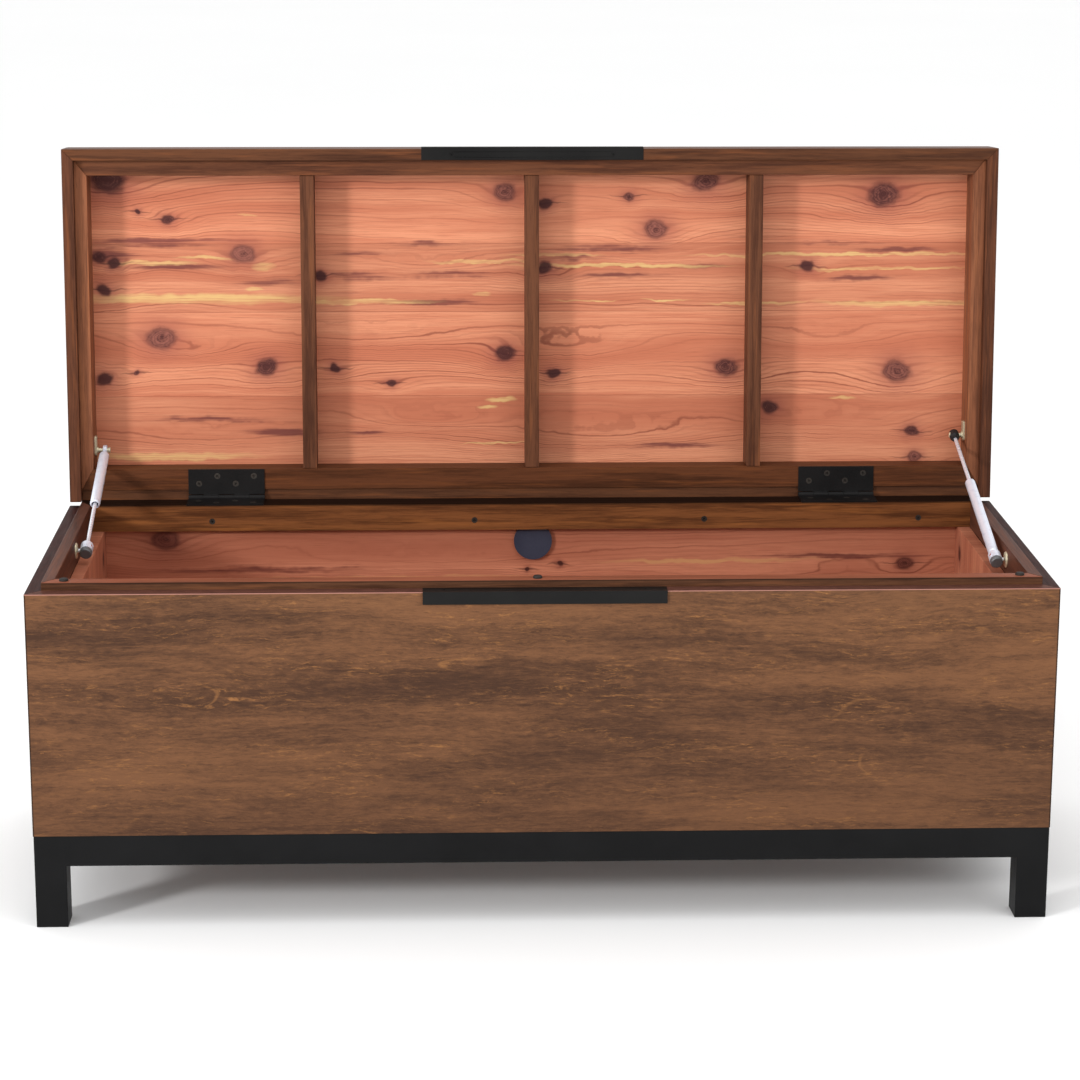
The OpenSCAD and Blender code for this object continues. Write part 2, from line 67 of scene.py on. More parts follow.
def merged_boxes(node, to_local=SAME):
    """The box, in a local frame, of each separate solid in a CAD node, ordered from left to right."""
    mesh = NODES[node].data
    keys, parent = {}, []
    index = []
    for v in mesh.vertices:
        key = tuple(round(c, 6) for c in v.co)
        if key not in keys:
            keys[key] = len(parent)
            parent.append(len(parent))
        index.append(keys[key])

    def root(i):
        while parent[i] != i:
            parent[i] = parent[parent[i]]
            i = parent[i]
        return i

    for edge in mesh.edges:
        a, b = (root(index[i]) for i in edge.vertices)
        parent[a] = b
    groups = {}
    for v, i in zip(mesh.vertices, index):
        groups.setdefault(root(i), []).append(to_local @ v.co)
    boxes = [(Vector([min(p[k] for p in g) for k in range(3)]),
              Vector([max(p[k] for p in g) for k in range(3)])) for g in groups.values()]
    return sorted(boxes, key=lambda b: b[0].x)


def local_box(node, to_local):
    """The box, in a local frame, of a whole CAD node."""
    boxes = merged_boxes(node, to_local)
    return (Vector([min(b[0][k] for b in boxes) for k in range(3)]),
            Vector([max(b[1][k] for b in boxes) for k in range(3)]))


# ---- shader building ------------------------------------------------------------


SCREEN_TO_SURFACE = 0.83     # a surface's own colour over the colour it shows in these lights


def linear(rgb, gain=SCREEN_TO_SURFACE):
    """A colour as it shows on screen, 0 to 255, as the surface colour that gives it here."""
    out = []
    for c in rgb:
        c = c / 255
        out.append(gain * (c / 12.92 if c <= 0.04045 else ((c + 0.055) / 1.055) ** 2.4))
    return (*out, 1.0)


class Shader:
    """One node material, built left to right with short calls. A value is a number or a socket."""

    def __init__(self, name):
        self.mat = bpy.data.materials.new(name)
        self.mat.use_nodes = True
        self.tree = self.mat.node_tree
        self.bsdf = self.tree.nodes["Principled BSDF"]
        self.coords = self.tree.nodes.new("ShaderNodeTexCoord").outputs["Object"]

    def put(self, socket, value):
        if isinstance(value, bpy.types.NodeSocket):
            self.tree.links.new(value, socket)
        elif value is not None:
            socket.default_value = value

    def node(self, kind, *values, **settings):
        n = self.tree.nodes.new("ShaderNode" + kind)
        for key, value in settings.items():
            setattr(n, key, value)
        for socket, value in zip(n.inputs, values):
            self.put(socket, value)
        return n

    def math(self, operation, a, b=None, c=None):
        return self.node("Math", a, b, c, operation=operation).outputs[0]

    def vector(self, operation, a, b):
        return self.node("VectorMath", a, b, operation=operation).outputs["Vector"]

    def split(self, vector):
        return self.node("SeparateXYZ", vector).outputs

    def place(self, matrix):
        """The object's own coordinates, carried by a matrix."""
        return self.node("Mapping", self.coords, matrix.to_translation(), matrix.to_euler(),
                         (1, 1, 1)).outputs[0]

    def stretch(self, vector, *scale):
        return self.node("Mapping", vector, (0, 0, 0), (0, 0, 0), scale).outputs[0]

    def noise(self, vector, scale, detail, roughness=0.5, distortion=0.0):
        n = self.node("TexNoise")
        for key, value in (("Vector", vector), ("Scale", scale), ("Detail", detail),
                           ("Roughness", roughness), ("Distortion", distortion)):
            self.put(n.inputs[key], value)
        return n.outputs["Fac"]

    def noise_1d(self, value, detail):
        n = self.node("TexNoise", noise_dimensions="1D")
        self.put(n.inputs["W"], value)
        n.inputs["Scale"].default_value = 1.0
        n.inputs["Detail"].default_value = detail
        return n.outputs["Fac"]

    def total(self, *terms):
        """The sum of weighted values, given as (value, weight) pairs."""
        out = 0.0
        for value, weight in terms:
            out = self.math("MULTIPLY_ADD", value, weight, out)
        return out

    def band(self, value, low, high, ends=(0.0, 1.0)):
        """A smooth step from ends[0] where value is low to ends[1] where it is high."""
        n = self.node("MapRange", interpolation_type="SMOOTHSTEP")
        for key, v in (("Value", value), ("From Min", low), ("From Max", high),
                       ("To Min", ends[0]), ("To Max", ends[1])):
            self.put(n.inputs[key], v)
        return n.outputs["Result"]

    def mix(self, factor, a, b, mode="MIX"):
        n = self.node("Mix", data_type="RGBA", blend_type=mode)
        self.put(n.inputs[0], factor)
        self.put(n.inputs[6], a)
        self.put(n.inputs[7], b)
        return n.outputs[2]

    def finish(self, color, roughness, height=None, bump=0.2, distance=0.0005, metallic=0.0,
               gloss=0.15):
        """Sets the shader's own sockets, with a bump from height where there is one."""
        self.put(self.bsdf.inputs["Base Color"], color)
        self.put(self.bsdf.inputs["Roughness"], roughness)
        self.bsdf.inputs["Metallic"].default_value = metallic
        self.bsdf.inputs["Specular IOR Level"].default_value = gloss
        if height is not None:
            n = self.node("Bump")
            n.inputs["Strength"].default_value = bump
            n.inputs["Distance"].default_value = distance
            self.put(n.inputs["Height"], height)
            self.put(self.bsdf.inputs["Normal"], n.outputs["Normal"])
        return self.mat


def spot_group():
    """A node group: the squared distance of a point from a centre, 1 at the ellipse's edge."""
    tree = bpy.data.node_groups.new("board_spot", "ShaderNodeTree")
    for name in ("Point", "Centre", "Size"):
        tree.interface.new_socket(name, in_out="INPUT", socket_type="NodeSocketVector")
    tree.interface.new_socket("Square", in_out="OUTPUT", socket_type="NodeSocketFloat")
    enter, leave = tree.nodes.new("NodeGroupInput"), tree.nodes.new("NodeGroupOutput")
    away = tree.nodes.new("ShaderNodeVectorMath")
    away.operation = "SUBTRACT"
    scaled = tree.nodes.new("ShaderNodeVectorMath")
    scaled.operation = "DIVIDE"
    square = tree.nodes.new("ShaderNodeVectorMath")
    square.operation = "DOT_PRODUCT"
    tree.links.new(enter.outputs["Point"], away.inputs[0])
    tree.links.new(enter.outputs["Centre"], away.inputs[1])
    tree.links.new(away.outputs[0], scaled.inputs[0])
    tree.links.new(enter.outputs["Size"], scaled.inputs[1])
    tree.links.new(scaled.outputs[0], square.inputs[0])
    tree.links.new(scaled.outputs[0], square.inputs[1])
    tree.links.new(square.outputs["Value"], leave.inputs["Square"])
    return tree


SPOT = spot_group()


def spot(s, point, x, y, half_x, half_y):
    """The squared elliptical distance of a point on a board from a spot's centre."""
    n = s.tree.nodes.new("ShaderNodeGroup")
    n.node_tree = SPOT
    s.put(n.inputs["Point"], point)
    n.inputs["Centre"].default_value = (x, y, 0)
    n.inputs["Size"].default_value = (half_x, half_y, 1)
    return n.outputs["Square"]


def falloff(s, square, reach):
    """exp(-square / reach)"""
    return s.math("EXPONENT", s.math("MULTIPLY", square, -1 / reach))


# ---- cedar ------------------------------------------------------------------------

LID_CEDAR = {"pale": (238, 160, 122), "deep": (208, 124, 92), "line": (140, 72, 54),
             "heart": (112, 56, 56), "sap": (240, 198, 132), "ring": (72, 36, 36),
             "knot": (160, 98, 84), "halo": (158, 86, 74)}
CASE_CEDAR = {"pale": (214, 140, 108), "deep": (180, 108, 82), "line": (122, 64, 48),
              "heart": (98, 48, 44), "sap": (208, 152, 104), "ring": (66, 34, 30),
              "knot": (124, 70, 58), "halo": (130, 70, 58)}


def cedar(name, matrix, palette, gains, joints, knots, streaks, flames, arches, seed):
    """Aromatic cedar boards. After the matrix, x runs along the grain and y across it.

    joints are the board edges in y and gains the brightness of each board. A knot is
    (x, y, radius, darkness); a pale streak or a dark flame is (x, y, half length, half width);
    an arch, where the rings close in a long loop, is (x, y, half length, half width, rings).
    All sizes are in millimetres.
    """
    s = Shader(name)
    p = s.place(matrix)
    x, y, _ = s.split(p)
    flat = s.node("CombineXYZ", x, y, seed).outputs[0]
    board, seam, gain = 0.0, 0.0, gains[0]
    for joint, low, high in zip(joints, gains, gains[1:]):
        past = s.math("GREATER_THAN", y, joint * MM)
        board = s.math("ADD", board, past)
        gain = s.math("MULTIPLY_ADD", past, high - low, gain)
        near = s.math("ABSOLUTE", s.math("SUBTRACT", y, joint * MM))
        seam = s.math("MAXIMUM", seam, s.band(near, 0.0008, 0.0002))
    shift = s.node("CombineXYZ", s.math("MULTIPLY", board, 0.7), 0.0,
                   s.math("MULTIPLY", board, 3.1)).outputs[0]
    base = s.vector("ADD", flat, shift)

    # slow wander of the grain, and small warps that fray the outlines of spots
    wander = s.math("SUBTRACT", s.noise(s.stretch(base, 2.2, 9, 1), 1, 2), 0.5)
    ripple = s.math("SUBTRACT", s.noise(s.stretch(base, 16, 45, 1), 1, 3), 0.5)
    warp = s.math("SUBTRACT", s.noise(s.stretch(base, 42, 34, 1), 1, 2), 0.5)
    skew = s.math("SUBTRACT", s.noise(s.stretch(base, 30, 55, 3), 1, 2), 0.5)
    fray = s.math("SUBTRACT", s.noise(s.stretch(base, 90, 260, 1), 1, 3, 0.7), 0.5)
    y_grain = s.total((y, 1.0), (wander, 0.04), (ripple, 0.006))
    y_frayed = s.total((y, 1.0), (ripple, 0.006), (warp, 0.010), (fray, 0.002))
    x_frayed = s.total((x, 1.0), (skew, 0.016), (fray, 0.002))
    bent = s.node("CombineXYZ", x_frayed, y_frayed, 0.0).outputs[0]

    # knots: the grain parts round them and some rings close over them
    parted, loops, nearest, dark, tail = y_grain, 0.0, 9.0, 0.0, 0.0
    for kx, ky, r, darkness in knots:
        near = spot(s, bent, kx * MM, ky * MM, 1.25 * r * MM, r * MM)
        far = falloff(s, spot(s, bent, kx * MM, ky * MM, (3.6 * r + 14) * MM, (1.8 * r + 4) * MM), 1.0)
        aside = s.math("SUBTRACT", ky * MM, y_grain)
        parted = s.math("MULTIPLY_ADD", aside, s.math("MULTIPLY", far, 0.8), parted)
        loops = s.math("MULTIPLY_ADD", far, 0.8 + 0.12 * r, loops)
        nearest = s.math("MINIMUM", nearest, near)
        dark = s.math("MULTIPLY_ADD", s.math("LESS_THAN", near, 2.2), darkness, dark)
        if r < 10:
            line = spot(s, bent, kx * MM, ky * MM, (3.2 * r + 12) * MM, 1.5 * MM)
            tail = s.math("MAXIMUM", tail, s.band(line, 1.0, 0.1))
    for ax, ay, half_l, half_w, rings in arches:
        inside = falloff(s, spot(s, bent, ax * MM, ay * MM, half_l * MM, half_w * MM), 1.0)
        loops = s.math("MULTIPLY_ADD", inside, rings, loops)
    phase = s.math("MULTIPLY_ADD", parted, 215.0, loops)
    halo = falloff(s, nearest, 2.6)

    # thin ring lines, some strong and some hardly seen
    rings = s.band(s.math("SINE", s.math("MULTIPLY", phase, 2 * math.pi)), 0.0, 1.0)
    strong = s.band(s.noise_1d(s.math("MULTIPLY", phase, 0.8), 2.0), 0.48, 0.72)
    patch = s.band(s.noise(s.stretch(base, 3.2, 15, 1), 1, 2), 0.35, 0.7, (0.35, 1.0))
    weight = s.total((strong, 0.6), (halo, 0.5), (patch, 0.2))
    lines = s.math("MULTIPLY", s.math("MULTIPLY", rings, patch), weight)

    # ground colour follows the grain in broad bands, with fine fibres over it
    tone = s.noise(s.stretch(base, 1.6, 20, 1), 1, 4, 0.62)
    broad = s.noise_1d(s.math("MULTIPLY", phase, 0.13), 3.0)
    ground = s.total((tone, 0.5), (broad, 0.5))
    color = s.mix(s.band(ground, 0.38, 0.64), linear(palette["deep"]), linear(palette["pale"]))
    fibre = s.noise(s.stretch(base, 12, 460, 1), 1, 4, 0.7)
    color = s.mix(s.band(fibre, 0.42, 0.68, (0.0, 0.6)), color, linear(palette["deep"]))
    thread = s.noise(s.stretch(base, 22, 900, 1), 1, 3, 0.7)
    color = s.mix(s.band(thread, 0.54, 0.72, (0.0, 0.34)), color, linear(palette["line"]))
    color = s.mix(lines, color, linear(palette["line"]))

    # purple flames and pale sapwood, both drawn out along the fibres
    streaky = s.noise(s.stretch(base, 3.4, 120, 1), 1, 4, 0.64)
    flame = 0.0
    for fx, fy, half_l, half_w in flames:
        inside = falloff(s, spot(s, bent, fx * MM, fy * MM, half_l * MM, half_w * MM), 1.0)
        flame = s.math("MAXIMUM", flame, inside)
    heart = s.band(s.total((streaky, 0.8), (thread, 0.2), (flame, 0.3)), 0.62, 0.84)
    color = s.mix(s.math("MULTIPLY", heart, 0.8), color, linear(palette["heart"]))
    color = s.mix(s.math("MULTIPLY", flame, 0.16), color, linear(palette["heart"]))
    sap = 0.0
    for sx, sy, half_l, half_w in streaks:
        inside = spot(s, bent, sx * MM, sy * MM, half_l * MM, half_w * MM)
        sap = s.math("MAXIMUM", sap, s.band(inside, 1.8, 0.0))
    broken = s.band(s.total((streaky, 0.5), (thread, 0.5)), 0.40, 0.58, (1.0, 0.35))
    sap = s.math("MULTIPLY", sap, broken)
    color = s.mix(sap, color, linear(palette["sap"]))

    # knots: a red halo, then a ringed heart with a dark rim
    color = s.mix(s.math("MULTIPLY", halo, 0.72), color, linear(palette["halo"]))
    color = s.mix(s.math("MULTIPLY", tail, 0.55), color, linear(palette["ring"]))
    radius = s.math("SQRT", nearest)
    swirl = s.total((radius, 1.0), (fray, 0.5), (warp, 0.7))
    turns = s.math("SINE", s.math("MULTIPLY", swirl, 30.0))
    mottle = s.noise(s.stretch(flat, 170, 210, 1), 1, 3, 0.65)
    heart_dot = s.band(radius, 0.42, 0.1)
    depth = s.total((turns, 0.13), (mottle, 0.9), (heart_dot, 0.25), (dark, 1.0))
    knot_color = s.mix(s.band(depth, 0.35, 1.25), linear(palette["knot"]), linear(palette["ring"]))
    rim = s.math("MULTIPLY", s.band(radius, 0.5, 0.8), s.band(radius, 1.16, 0.86))
    knot_color = s.mix(s.math("MULTIPLY", rim, 0.45), knot_color, linear(palette["ring"]))
    core = s.band(s.total((radius, 1.0), (fray, 0.2)), 1.2, 0.62)
    color = s.mix(s.math("MULTIPLY", core, 0.92), color, knot_color)

    # the boards' own tones, and the seams between them
    tint = s.node("CombineColor", gain, gain, gain).outputs[0]
    color = s.mix(1.0, color, tint, "MULTIPLY")
    color = s.mix(s.math("MULTIPLY", seam, 0.4), color, linear(palette["line"]))

    rough = s.band(fibre, 0.2, 0.8, (0.38, 0.55))
    sunk = s.total((lines, 0.4), (seam, 1.6))
    height = s.math("SUBTRACT", s.math("MULTIPLY", fibre, 0.35), sunk)
    return s.finish(color, rough, height, bump=0.3, distance=0.0004)


# ---- stained wood --------------------------------------------------------------------

VENEER = {"dark": (74, 51, 39), "mid": (130, 89, 61), "gold": (174, 120, 72), "pore": (32, 21, 16)}


def veneer(name, matrix, seed, half=None, top=None, sawn_and_highlight=None, low=None):
    """Satin stained veneer: soft dark clouds, curly fibres, gold figure lines and fine pores.

    Beyond half, the distance from the middle, the board's black corner shows. Above top the
    edge shows in the three colours given for it: its dark, its light and its corner. On the
    front panel they are a lighter copy, painted highlight, with a painted highlight on the corner.
    low is the (bottom, top) height over which painted shade darkens the board towards the bottom.
    """
    s = Shader(name)
    p = s.place(matrix)
    x, y, z = s.split(p)
    # the pattern changes through the board, so it isn't drawn out over the thin edges
    layer = s.total((z, 160.0), (seed, 1.0))
    flat = s.node("CombineXYZ", x, y, layer).outputs[0]
    drift = s.math("SUBTRACT", s.noise(s.stretch(flat, 1.8, 6, 1), 1, 2), 0.5)
    curl = s.math("SUBTRACT", s.noise(s.stretch(flat, 26, 60, 1), 1, 3, 0.6), 0.5)
    feather = s.math("SUBTRACT", s.noise(s.stretch(flat, 70, 240, 1), 1, 3, 0.65), 0.5)
    y_bent = s.total((y, 1.0), (drift, 0.04), (curl, 0.009), (feather, 0.004))
    bent = s.node("CombineXYZ", x, y_bent, layer).outputs[0]
    cloud = s.noise(s.stretch(bent, 2.6, 20, 1), 1, 2, 0.45)
    wisp = s.noise(s.stretch(bent, 14, 130, 1), 1, 4, 0.65)
    fibre = s.noise(s.stretch(bent, 50, 640, 1), 1, 5, 0.78)
    mottle = s.noise(s.stretch(bent, 90, 200, 1), 1, 3, 0.6)
    thread = s.noise(s.stretch(bent, 110, 1200, 1), 1, 3, 0.8)
    weave = s.total((cloud, 0.34), (wisp, 0.2), (fibre, 0.24), (mottle, 0.1), (thread, 0.12))
    color = s.mix(s.band(weave, 0.39, 0.61), linear(VENEER["dark"]), linear(VENEER["mid"]))
    # gold flecks in patches, and long thin figure lines
    patch = s.noise(s.stretch(flat, 7, 26, 2), 1, 2)
    fleck = s.noise(s.stretch(bent, 60, 430, 1), 1, 4, 0.7)
    glow = s.math("MULTIPLY", s.band(fleck, 0.52, 0.74), s.band(patch, 0.42, 0.64, (0.2, 1.0)))
    color = s.mix(s.math("MULTIPLY", glow, 0.7), color, linear(VENEER["gold"]))
    level = s.noise(s.stretch(flat, 3.5, 15, 1), 1, 1.5, 0.4)
    contour = s.band(s.math("ABSOLUTE", s.math("SUBTRACT", level, 0.54)), 0.007, 0.001)
    figure = s.math("MULTIPLY", contour, s.band(s.total((patch, 0.6), (fibre, 0.4)), 0.50, 0.62))
    color = s.mix(s.math("MULTIPLY", figure, 0.3), color, linear(VENEER["gold"]))
    pores = s.band(s.noise(s.stretch(flat, 60, 1000, 1), 1, 2, 0.5), 0.62, 0.76)
    color = s.mix(s.math("MULTIPLY", pores, 0.4), color, linear(VENEER["pore"]))
    # painted shade: the board darkens towards the bottom over the height low
    if low:
        color = s.mix(s.band(y, low[1], low[0], (0.0, 0.28)), color, linear(VENEER["dark"]))
    if half:
        corner = s.band(s.math("ABSOLUTE", x), half - 0.0024, half - 0.0008)
        color = s.mix(s.math("MULTIPLY", corner, 0.8), color, linear(VENEER["pore"]))
    # the top edge: on the front panel its colours are a lighter copy, painted highlight, with a painted
    # highlight line on the corner
    if top:
        edge_color = s.mix(s.band(fibre, 0.35, 0.7), linear(sawn_and_highlight[0]), linear(sawn_and_highlight[1]))
        color = s.mix(s.band(y, top - 0.0009, top - 0.0003), color, edge_color)
        arris = s.math("MULTIPLY", s.band(y, top - 0.0014, top - 0.0009),
                       s.band(y, top - 0.0001, top - 0.0004))
        color = s.mix(s.math("MULTIPLY", arris, 0.85), color, linear(sawn_and_highlight[2]))
    rough = s.band(wisp, 0.2, 0.8, (0.46, 0.58))
    height = s.math("SUBTRACT", s.math("MULTIPLY", fibre, 0.4), pores)
    return s.finish(color, rough, height, bump=0.3, distance=0.0003, gloss=0.07)


def rail_wood(name, matrix, dark, mid, warm, seed, top=None, face=None):
    """Straight-grained stained hardwood, grain along x. Above top its colour is face, which paints
    light onto the top face: lighter for a highlight, darker for shade.
    """
    s = Shader(name)
    p = s.place(matrix)
    flat = s.vector("ADD", p, (0, 0, seed))
    slow = s.noise(s.stretch(flat, 4, 90, 90), 1, 3, 0.55, 0.3)
    fine = s.noise(s.stretch(flat, 26, 520, 520), 1, 4, 0.7)
    blend = s.total((slow, 0.6), (fine, 0.4))
    color = s.mix(s.band(blend, 0.36, 0.62), linear(dark), linear(mid))
    warmth = s.noise(s.stretch(flat, 9, 150, 150), 1, 3, 0.6)
    color = s.mix(s.band(warmth, 0.5, 0.75, (0.0, 0.6)), color, linear(warm))
    pores = s.band(s.noise(s.stretch(flat, 45, 1300, 1300), 1, 2), 0.62, 0.76)
    color = s.mix(s.math("MULTIPLY", pores, 0.45), color, linear([0.4 * c for c in dark]))
    if top:
        z = s.split(s.coords)[2]
        arris = s.math("MULTIPLY", s.band(z, top - 0.0032, top - 0.0014), s.band(z, top, top - 0.0006))
        color = s.mix(s.math("MULTIPLY", arris, 0.6), color, linear([0.35 * c for c in dark]))
        # the top face's colour is painted light: a painted highlight on the front lip, painted shade on
        # the rear rail
        upper = s.mix(s.band(blend, 0.36, 0.62), linear([0.8 * c for c in face]), linear(face))
        color = s.mix(s.band(z, top - 0.0008, top - 0.0002), color, upper)
    rough = s.band(slow, 0.3, 0.7, (0.42, 0.54))
    height = s.math("SUBTRACT", s.math("MULTIPLY", fine, 0.4), pores)
    return s.finish(color, rough, height, bump=0.3, distance=0.0003, gloss=0.08)


# ---- metal, plastic ------------------------------------------------------------------


def coated(name, color, speck, roughness, bump, scale=900.0, metallic=0.0, gloss=0.3):
    """Painted or moulded surface: slight blotches, fine texture in colour, gloss and relief."""
    s = Shader(name)
    blotch = s.noise(s.coords, 14, 3, 0.6)
    grain = s.noise(s.coords, scale, 2, 0.6)
    mixed = s.math("ADD", s.math("MULTIPLY", blotch, 0.6), s.math("MULTIPLY", grain, 0.4))
    tone = s.mix(s.band(mixed, 0.3, 0.7), linear(color), linear(speck))
    rough = s.band(mixed, 0.3, 0.7, (roughness - 0.06, roughness + 0.08))
    return s.finish(tone, rough, grain, bump=bump, distance=0.0002, metallic=metallic, gloss=gloss)


def turned(name, color, speck, roughness, metallic):
    """Drawn or turned metal with fine lines round its axis and faint handling marks."""
    s = Shader(name)
    lines = s.noise(s.stretch(s.coords, 60, 60, 2600), 1, 2, 0.7)
    marks = s.noise(s.stretch(s.coords, 90, 90, 260), 1, 4, 0.7)
    tone = s.mix(s.band(marks, 0.45, 0.75), linear(color), linear(speck))
    rough = s.band(lines, 0.2, 0.8, (roughness - 0.06, roughness + 0.08))
    return s.finish(tone, rough, lines, bump=0.12, distance=0.0001, metallic=metallic, gloss=0.5)


# ---- mesh building -------------------------------------------------------------------


def add_piece(name, bm, body, material, replaces, matrix=SAME, smooth=True, angle=35):
    """A finished piece: the mesh is put in the row frame and rides on a body."""
    bmesh.ops.recalc_face_normals(bm, faces=bm.faces)
    bm.transform(matrix)
    mesh = bpy.data.meshes.new(name)
    bm.to_mesh(mesh)
    bm.free()
    obj = bpy.data.objects.new(name, mesh)
    bpy.context.scene.collection.objects.link(obj)
    mesh.materials.append(material)
    if smooth:
        mesh.shade_smooth()
        mesh.set_sharp_from_angle(angle=math.radians(angle))
    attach(obj, body)
    if replaces:
        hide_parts(*replaces)
    return obj


def lathe(bm, profile, matrix, steps=48):
    """Adds a solid of revolution about z. profile is (radius, z) pairs in millimetres, ends at 0."""
    turns = [2 * math.pi * i / steps for i in range(steps)]
    rows = []
    for r, z in profile:
        angles = turns if r > 0 else turns[:1]
        rows.append([bm.verts.new(matrix @ Vector((r * MM * math.cos(a), r * MM * math.sin(a), z * MM)))
                     for a in angles])
    for low, high in zip(rows, rows[1:]):
        for i in range(steps):
            j = (i + 1) % steps
            ring = [low[i % len(low)], low[j % len(low)], high[j % len(high)], high[i % len(high)]]
            unique = list(dict.fromkeys(ring))
            if len(unique) > 2:
                bm.faces.new(unique)


ARC_STEPS = 4


def rounded(points, radius):
    """Rounds the inner corners of an open profile of (r, z) pairs with small arcs."""
    out = [points[0]]
    for a, b, c in zip(points, points[1:], points[2:]):
        va = Vector((a[0] - b[0], a[1] - b[1]))
        vc = Vector((c[0] - b[0], c[1] - b[1]))
        cut = min(radius, va.length * 0.45, vc.length * 0.45)
        p0 = Vector(b) + va.normalized() * cut
        p1 = Vector(b) + vc.normalized() * cut
        for i in range(ARC_STEPS + 1):
            t = i / ARC_STEPS
            q = p0 * (1 - t) ** 2 + Vector(b) * 2 * t * (1 - t) + p1 * t ** 2
            out.append((q.x, q.y))
    out.append(points[-1])
    return out


def block(r, low, high, round_by):
    """The profile of a plain disc or rod, its edges rounded."""
    return rounded([(0, low), (r, low), (r, high), (0, high)], round_by)


def screw_head(bm, radius, matrix):
    """Adds a countersunk head, its face at z = 0, with a cross recess."""
    steps, arm, half, depth = 40, 0.56 * radius, 0.12 * radius, 0.5 * radius
    rim = [bm.verts.new((radius * math.cos(2 * math.pi * i / steps),
                         radius * math.sin(2 * math.pi * i / steps), 0)) for i in range(steps)]
    outline = []
    for quarter in range(4):
        turn = Matrix.Rotation(quarter * math.pi / 2, 3, "Z")
        outline += [turn @ Vector(c) for c in ((half, half, 0), (half, arm, 0), (-half, arm, 0))]
    cross = [bm.verts.new(c) for c in outline]
    floor = [bm.verts.new((0.72 * c.x, 0.72 * c.y, -depth)) for c in outline]
    under = [bm.verts.new((0.5 * v.co.x, 0.5 * v.co.y, -0.9 * radius)) for v in rim]
    made = rim + cross + floor + under
    edges = [bm.edges.new((loop[i], loop[(i + 1) % len(loop)])) for loop in (rim, cross)
             for i in range(len(loop))]
    bmesh.ops.triangle_fill(bm, use_beauty=True, edges=edges)
    for i in range(len(cross)):
        j = (i + 1) % len(cross)
        bm.faces.new((cross[i], cross[j], floor[j], floor[i]))
    bm.faces.new(floor)
    for i in range(steps):
        j = (i + 1) % steps
        bm.faces.new((rim[j], rim[i], under[i], under[j]))
    bm.faces.new(under)
    bmesh.ops.transform(bm, matrix=matrix, verts=made)


SHARP = math.radians(30)     # edges that turn more than this are rounded


def soften(obj, width, segments=3):
    """Rounds the sharp edges with a bevel of a width in millimetres and shades the rest smoothly."""
    bevel = obj.modifiers.new("edges", "BEVEL")
    bevel.width = width * MM
    bevel.segments = segments
    bevel.limit_method = "ANGLE"
    bevel.angle_limit = SHARP
    weld = obj.modifiers.new("join", "WELD")
    weld.merge_threshold = 1e-6
    obj.modifiers.move(1, 0)
    normals = obj.modifiers.new("normals", "WEIGHTED_NORMAL")
    normals.keep_sharp = False
    normals.weight = 100
    obj.data.shade_smooth()
    return obj


def dress(node, material):
    """Gives a CAD node its material."""
    obj = NODES[node]
    obj.data.materials.clear()
    obj.data.materials.append(material)
    return obj


# ---- grain directions -------------------------------------------------------------------
# Each matrix carries the object's coordinates so that x runs along the grain and y across it.

ALONG_X_UP = Matrix.Rotation(-math.pi / 2, 4, "X")     # x along, y up: front and rear boards
ALONG_Y_UP = ALONG_X_UP @ Matrix.Rotation(math.pi / 2, 4, "Z")
UPRIGHT = Matrix.Rotation(math.pi / 2, 4, "Y")         # x up, y to the back: side linings
LID_FLAT = Matrix.Rotation(math.pi, 4, "X") @ Matrix.Translation(-HINGE) @ CLOSE
LID_DEEP = Matrix.Rotation(math.pi / 2, 4, "Z") @ Matrix.Translation(-HINGE) @ CLOSE
ACROSS = Matrix.Rotation(math.pi / 2, 4, "Z")          # x along the chest's depth

# ---- wood on the case -----------------------------------------------------------------

front_lo, front_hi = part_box("front_panel")
# top edges of the panels: dark and light of the wood, and the corner towards the face. The pink set
# is a lighter copy, painted highlight, with a painted highlight on the corner; the red set is dark
# with a dark corner line.
PAINTED_HIGHLIGHT_EDGE = ((74, 44, 36), (112, 70, 58), (196, 142, 128))
RED_EDGE = ((40, 17, 14), (74, 33, 26), (20, 10, 9))
# heights over which painted shade darkens the case panels towards the bottom
PAINTED_SHADE_SPAN = (front_lo.z, front_lo.z + 0.7 * (front_hi.z - front_lo.z))
for node, matrix, seed, half, sawn_and_highlight in (
        ("front_panel", ALONG_X_UP, 1.3, front_hi.x, PAINTED_HIGHLIGHT_EDGE),
        ("rear_panel", ALONG_X_UP, 7.9, front_hi.x, RED_EDGE),
        ("left_panel", ALONG_Y_UP, 3.1, -front_lo.y, RED_EDGE),
        ("right_panel", ALONG_Y_UP, 5.2, -front_lo.y, RED_EDGE)):
    soften(dress(node, veneer("veneer_" + node, matrix, seed, half, front_hi.z, sawn_and_highlight, PAINTED_SHADE_SPAN)), 0.9)
soften(dress("lid_top_panel", veneer("veneer_lid", LID_FLAT, 11.7)), 0.9)

# dark, middle and warm tones of the solid wood, by place
OUTER = ((68, 40, 27), (103, 64, 42), (132, 78, 46))
OUTER_SHORT = ((70, 40, 27), (106, 64, 44), (136, 80, 48))
INNER = ((84, 49, 34), (120, 74, 50), (144, 86, 54))
# the lid's side strips: a lighter copy of the inner strip tones, painted light
INNER_SIDE_PAINTED_LIGHT = ((112, 68, 48), (156, 98, 68), (178, 112, 72))
DIVIDER = ((78, 46, 32), (114, 71, 49), (142, 86, 54))
HINGE_STRIP = ((70, 39, 22), (104, 60, 36), (132, 76, 40))
REAR = ((86, 50, 28), (134, 82, 46), (164, 102, 54))
LIP = ((74, 46, 32), (110, 72, 50), (138, 86, 56))
SIDE_LIP = ((68, 42, 34), (102, 64, 50), (124, 76, 56))
# painted highlight on the front lip's top face
PAINTED_HIGHLIGHT_TOP = (150, 86, 62)
# painted shade on the rear rail's top face, under the open lid
PAINTED_SHADE_TOP = (28, 14, 8)
rim_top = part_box("rim_rail_front")[1].z
